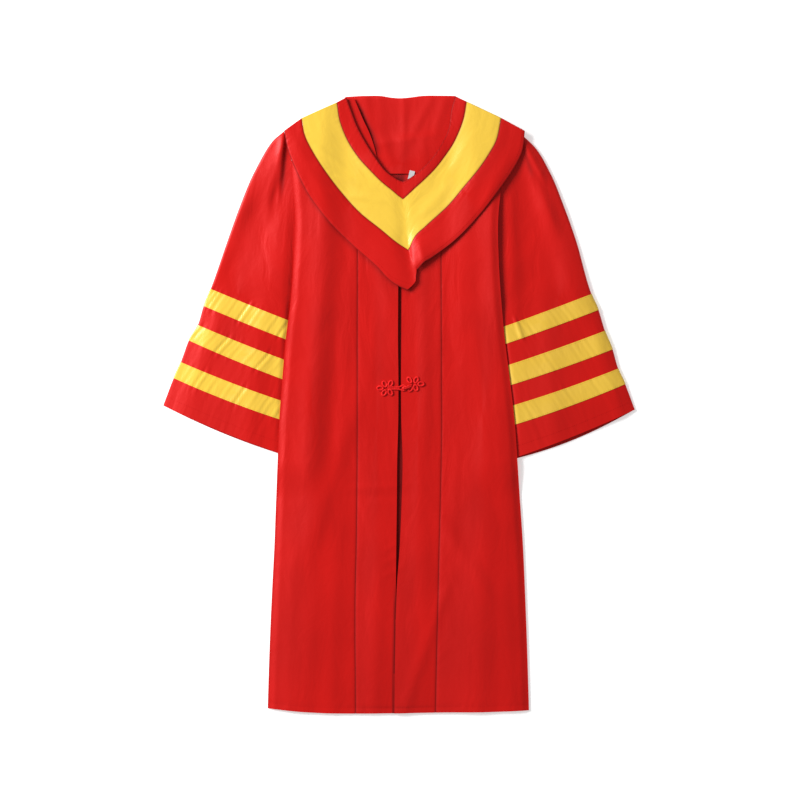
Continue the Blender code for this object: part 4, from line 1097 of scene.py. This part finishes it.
def cord_tube(path, closed):
    """A tube round a path: two plies twisted round each other, so the radius is
    R * (0.88 + 0.16 * |cos(angle - turns)|), where the turns run with the length along the path."""
    if closed:
        tangent = np.roll(path, -1, axis=0) - np.roll(path, 1, axis=0)
    else:
        tangent = np.gradient(path, axis=0)
    tangent = tangent / np.linalg.norm(tangent, axis=1, keepdims=True)
    beside = np.stack((-tangent[:, 1], tangent[:, 0], 0.0 * tangent[:, 0]), axis=-1)
    beside = beside / np.linalg.norm(beside, axis=1, keepdims=True)
    above = np.cross(tangent, beside)
    step = np.linalg.norm(np.diff(path, axis=0), axis=1)
    run = np.concatenate(([0.0], np.cumsum(step)))
    total = run[-1] + (np.linalg.norm(path[0] - path[-1]) if closed else 0.0)
    turns = math.pi * max(round(total / TWIST_PITCH), 1) * run / total * 2
    angle = np.linspace(0.0, 2 * math.pi, 14, endpoint=False)
    radius = CORD_RADIUS * (0.88 + 0.16 * np.abs(np.cos(angle[None, :] - turns[:, None] / 2)))
    ring = np.cos(angle)[None, :, None] * beside[:, None, :] + np.sin(angle)[None, :, None] * above[:, None, :]
    points = path[:, None, :] + radius[:, :, None] * ring
    rows, columns = radius.shape
    row = np.arange(rows if closed else rows - 1)[:, None]
    column = np.arange(columns)[None, :]
    next_row, next_column = (row + 1) % rows, (column + 1) % columns
    faces = np.stack(
        (row * columns + column, row * columns + next_column, next_row * columns + next_column,
         next_row * columns + column), axis=-1).reshape(-1, 4).tolist()
    if not closed:
        faces += [list(range(columns))[::-1], list(range((rows - 1) * columns, rows * columns))]
    return points.reshape(-1, 3), faces


def cord_rest(x, y):
    """Height of the middle of a cord that is sewn down on the fronts, a little sunk into their cloth."""
    return front_surface(np.asarray(x), np.asarray(y)) + (1.0 - CORD_SINK) * CORD_RADIUS


def petal_path(middle, tip):
    """A petal: an ellipse that reaches from the middle of the half out to just past the petal's centre."""
    middle, tip = np.array(middle), np.array(tip)
    out = tip - middle
    reach = np.linalg.norm(out)
    out = out / reach
    side = np.array((-out[1], out[0]))
    turn = np.linspace(0.0, 2 * math.pi, 40, endpoint=False)
    long_half = 0.0052
    short_half = 0.0034
    plan = tip + long_half * np.cos(turn)[:, None] * out + short_half * np.sin(turn)[:, None] * side
    z = cord_rest(plan[:, 0], plan[:, 1]) + 0.0007 * (1.0 - np.cos(turn)) * 0.5
    return np.column_stack((plan, z))


def smooth_path(corners, count):
    """A smooth path through a few points, with its own height."""
    corners = np.array(corners)
    keys = np.arange(len(corners), dtype=float)
    rows = {"key": keys, "x": corners[:, 0], "y": corners[:, 1], "z": corners[:, 2]}
    at = np.linspace(0.0, keys[-1], count)
    return np.column_stack([smooth_along(rows, "key", c, at) for c in "xyz"])


def knot_ball(centre):
    """A ball of wound cord: a sphere whose radius rises and falls in crossing bands of cord."""
    theta, phi = np.meshgrid(np.linspace(0.0, math.pi, 25), np.linspace(0.0, 2 * math.pi, 40, endpoint=False), indexing="ij")
    radius = KNOB_RADIUS * (0.93 + 0.10 * np.abs(np.sin(3 * phi + 4 * theta)) * np.abs(np.sin(2 * theta + 0.6)) + 0.05 * np.cos(6 * theta))
    points = np.stack(
        (centre[0] + radius * np.sin(theta) * np.cos(phi), centre[1] + radius * np.sin(theta) * np.sin(phi),
         centre[2] + 0.85 * radius * np.cos(theta)), axis=-1)
    rows, columns = theta.shape
    row = np.arange(rows - 1)[:, None]
    column = np.arange(columns)[None, :]
    beside = (column + 1) % columns
    faces = np.stack(
        (row * columns + column, (row + 1) * columns + column, (row + 1) * columns + beside, row * columns + beside),
        axis=-1).reshape(-1, 4).tolist()
    return points.reshape(-1, 3), faces


def cord_piece(name, node, tubes):
    """One mesh from several tubes of cord."""
    vertices, faces, first = [], [], 0
    for points, tube_faces in tubes:
        vertices.append(points)
        faces += [[corner + first for corner in face] for face in tube_faces]
        first += len(points)
    mesh = bpy.data.meshes.new(name)
    mesh.from_pydata(np.concatenate(vertices).tolist(), [], faces)
    mesh.validate()
    mesh.shade_smooth()
    mesh.materials.append(red_cord)
    piece = bpy.data.objects.new(name, mesh)
    gown.objects.link(piece)
    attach(piece, "root")
    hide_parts(node)
    return piece


red_cord = bpy.data.materials.new("red_twisted_cord")
red_cord.use_nodes = True
cord_tree = red_cord.node_tree
cord_shader = cord_tree.nodes["Principled BSDF"]
cord_place = cord_tree.nodes.new("ShaderNodeTexCoord")
cord_uneven = cord_tree.nodes.new("ShaderNodeGroup")
cord_uneven.node_tree = unevenness_group
cord_uneven.inputs["Tone per metre"].default_value = 260.0
cord_uneven.inputs["Wrinkles per metre"].default_value = 1400.0
cord_tree.links.new(cord_place.outputs["Object"], cord_uneven.inputs["Place"])
cord_colours = cord_tree.nodes.new("ShaderNodeValToRGB")
cord_colours.color_ramp.elements[0].position = 0.3
cord_colours.color_ramp.elements[0].color = (0.56, 0.008, 0.008, 1.0)
cord_colours.color_ramp.elements[1].position = 0.7
cord_colours.color_ramp.elements[1].color = (0.86, 0.022, 0.022, 1.0)
cord_tree.links.new(cord_uneven.outputs["Tone"], cord_colours.inputs["Fac"])
cord_tree.links.new(cord_colours.outputs["Color"], cord_shader.inputs["Base Color"])
cord_bump = cord_tree.nodes.new("ShaderNodeBump")
cord_bump.inputs["Distance"].default_value = 0.0002
cord_tree.links.new(cord_uneven.outputs["Wrinkle"], cord_bump.inputs["Height"])
cord_tree.links.new(cord_bump.outputs["Normal"], cord_shader.inputs["Normal"])
cord_shader.inputs["Roughness"].default_value = 0.55
cord_shader.inputs["Specular IOR Level"].default_value = 0.30
cord_shader.inputs["Specular Tint"].default_value = (1.0, 0.3, 0.28, 1.0)

knob_x, knob_y = KNOB_CENTRE
knob_z = float(cord_rest(knob_x, knob_y))
strap = []
for offset in (-0.0017, 0.0017):
    corners = [
        (LOOP_MIDDLE[0] + 0.002, LOOP_MIDDLE[1] + offset, 0.0),
        (-0.0120, 0.0290 + offset, 0.0),
        (-0.0020, 0.0288 + offset, 0.0),
        (0.0030, 0.0292 + 1.6 * offset, 0.0),
        (knob_x - 0.0008, knob_y + math.copysign(RING_RADIUS, offset), 0.0),
        (knob_x + RING_RADIUS * 0.9, knob_y + 0.4 * math.copysign(RING_RADIUS, offset), 0.0),
        (knob_x + RING_RADIUS, knob_y, 0.0),
    ]
    path = smooth_path(corners, 60)
    path[:, 2] = np.maximum(cord_rest(path[:, 0], path[:, 1]), float(cord_rest(-0.004, 0.0290)) - 0.0004) + 0.0004
    strap.append(cord_tube(path, False))
loop_half = [cord_tube(petal_path((fx, fy), (px, py)), True) for px, py, fx, fy in zip(*LOOP_PETALS.values())]
loop_piece = cord_piece("closure_loop_cord", "closure_loop", loop_half + strap)
knob_half = [cord_tube(petal_path((fx, fy), (px, py)), True) for px, py, fx, fy in zip(*KNOB_PETALS.values())]
for offset in (-0.0012, 0.0012):
    corners = [
        (KNOB_MIDDLE[0] - 0.004, KNOB_MIDDLE[1] - 0.002 + offset, float(cord_rest(0.023, 0.034)) + 0.0012),
        (0.0180, 0.0318 + offset, float(cord_rest(0.018, 0.032)) + 0.0022),
        (0.0130, 0.0300 + offset, knob_z + 0.0034),
        (knob_x, knob_y + offset, knob_z + 0.0026),
    ]
    knob_half.append(cord_tube(smooth_path(corners, 30), False))
knob_half.append(knot_ball((knob_x, knob_y, knob_z + 0.0020)))
knob_piece = cord_piece("closure_knot_cord", "closure_knob", knob_half)


# The stitching: red thread along the hems and the collar's edges, yellow thread along the ribbons' edges.
# Each stitch is a small rounded bar that lies on the cloth, 2.4 mm long.
STITCH_LENGTH = 0.0024
STITCH_SPACING = 0.0034
THREAD_RADIUS = 0.00022


def stitch_row(path):
    """Stitches along a path: a bar of six sides with a narrow ring at each end, placed and turned along the
    path's direction at each spacing. Returns its points and faces."""
    step = np.linalg.norm(np.diff(path, axis=0), axis=1)
    run = np.concatenate(([0.0], np.cumsum(step)))
    count = max(int(run[-1] / STITCH_SPACING), 1)
    at = (np.arange(count) + 0.5) * run[-1] / count
    centre = np.column_stack([np.interp(at, run, path[:, axis]) for axis in range(3)])
    ahead = np.column_stack([np.interp(np.clip(at + 0.001, 0, run[-1]), run, path[:, axis]) for axis in range(3)])
    tangent = ahead - centre + np.array((1e-9, 0.0, 0.0))
    tangent = tangent / np.linalg.norm(tangent, axis=1, keepdims=True)
    beside = np.column_stack((-tangent[:, 1], tangent[:, 0], 0.0 * tangent[:, 0]))
    above = np.cross(tangent, beside)
    angle = np.linspace(0.0, 2 * math.pi, 6, endpoint=False)
    places = np.array((-0.5, -0.3, 0.3, 0.5)) * STITCH_LENGTH
    radii = np.array((0.25, 1.0, 1.0, 0.25)) * THREAD_RADIUS
    sinks = np.array((-0.6, 0.0, 0.0, -0.6)) * THREAD_RADIUS
    ring = np.cos(angle)[:, None, None] * beside + np.sin(angle)[:, None, None] * above
    points = (
        centre[None, None, :, :] + places[:, None, None, None] * tangent
        + radii[:, None, None, None] * ring[None, :, :, :] + sinks[:, None, None, None] * above)
    points = points.transpose(2, 0, 1, 3).reshape(-1, 3)
    rings = np.arange(3)[:, None]
    column = np.arange(6)[None, :]
    sides = np.stack(
        (rings * 6 + column, rings * 6 + (column + 1) % 6, (rings + 1) * 6 + (column + 1) % 6, (rings + 1) * 6 + column),
        axis=-1).reshape(-1, 4)
    sides = sides[:, ::-1]
    faces = (sides[None, :, :] + 24 * np.arange(count)[:, None, None]).reshape(-1, 4)
    return points, faces


def stitching(name, paths, material):
    """All rows of one thread on one piece, as a single mesh."""
    vertices, faces, first = [], [], 0
    for path in paths:
        points, row_faces = stitch_row(path)
        vertices.append(points)
        faces.append(row_faces + first)
        first += len(points)
    mesh = bpy.data.meshes.new(name)
    mesh.from_pydata(np.concatenate(vertices).tolist(), [], np.concatenate(faces).tolist())
    mesh.shade_smooth()
    mesh.materials.append(material)
    piece = bpy.data.objects.new(name, mesh)
    gown.objects.link(piece)
    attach(piece, "root")
    return piece


def thread(name, colour):
    """Polyester sewing thread: one colour, a little unevenly dyed, with a soft gloss."""
    material = bpy.data.materials.new(name)
    material.use_nodes = True
    tree = material.node_tree
    shader = tree.nodes["Principled BSDF"]
    place = tree.nodes.new("ShaderNodeTexCoord")
    noise = tree.nodes.new("ShaderNodeTexNoise")
    noise.inputs["Scale"].default_value = 900.0
    tree.links.new(place.outputs["Object"], noise.inputs["Vector"])
    ramp = tree.nodes.new("ShaderNodeValToRGB")
    ramp.color_ramp.elements[0].color = tuple(0.7 * c for c in colour[:3]) + (1.0,)
    ramp.color_ramp.elements[1].color = colour
    tree.links.new(noise.outputs["Fac"], ramp.inputs["Fac"])
    tree.links.new(ramp.outputs["Color"], shader.inputs["Base Color"])
    shader.inputs["Roughness"].default_value = 0.6
    shader.inputs["Specular IOR Level"].default_value = 0.2
    shader.inputs["Specular Tint"].default_value = colour
    return material


red_thread = thread("red_thread", (0.62, 0.010, 0.010, 1.0))
yellow_thread = thread("yellow_thread", (0.90, 0.58, 0.05, 1.0))

for name, left, right in (
    ("front_side_left", "side_left", "seam_left"),
    ("front_centre_left", "seam_left", "edge_left"),
    ("front_centre_right", "edge_right", "seam_right"),
    ("front_side_right", "seam_right", "side_right"),
):
    low = BODY["y"][-1] + HEM_DEPTH
    hem_x = np.linspace(float(body_edge(left, low)) + 0.002, float(body_edge(right, low)) - 0.002, 80)
    hem_y = smooth_along(HEM, "x", "y", hem_x) + HEM_DEPTH
    hem_z = front_surface(hem_x, hem_y) + 0.5 * THREAD_RADIUS
    if name == "front_centre_right":
        hem_z = hem_z + LAP_LIFT * (1.0 - ease(0.0, LAP_REACH, hem_x - body_edge("edge_right", hem_y)))
    stitching(f"{name}_hem_stitches", [np.column_stack((hem_x, hem_y, hem_z))], red_thread)

for side in ("left", "right"):
    border = collar_points[side, "collar_outer_border"]
    near_edge = 0.6 * border[:, -4] + 0.4 * border[:, -3]
    near_neck = collar_points[side, "collar_inner_border"][:, 2]
    lift = np.array((0.0, 0.0, 0.5 * THREAD_RADIUS))
    stitching(f"{side}_collar_stitches", [near_edge + lift, near_neck + lift], red_thread)
    hem_share = np.array((SLEEVE_HEM_SHARE,))
    upper_part = slice(len(FOLD_TURN), len(FOLD_TURN) + len(UPPER))
    row_points, _ = sleeve_surface(side, hem_share)
    path = row_points[0, upper_part] + np.array((0.0, 0.0, 0.5 * THREAD_RADIUS))
    stitching(f"{side}_sleeve_hem_stitches", [path], red_thread)
    for number, (first, last) in RIBBON_SPANS.items():
        inset = 0.0016 / 0.030 * (last - first)
        edges, _ = sleeve_surface(side, np.array((first + inset, last - inset)))
        lifted = edges[:, upper_part] + np.array((0.0, 0.0, 0.0003 + RIBBON_CLOTH + 0.5 * THREAD_RADIUS))
        stitching(f"{side}_ribbon_{number}_stitches", [lifted[0], lifted[1]], yellow_thread)
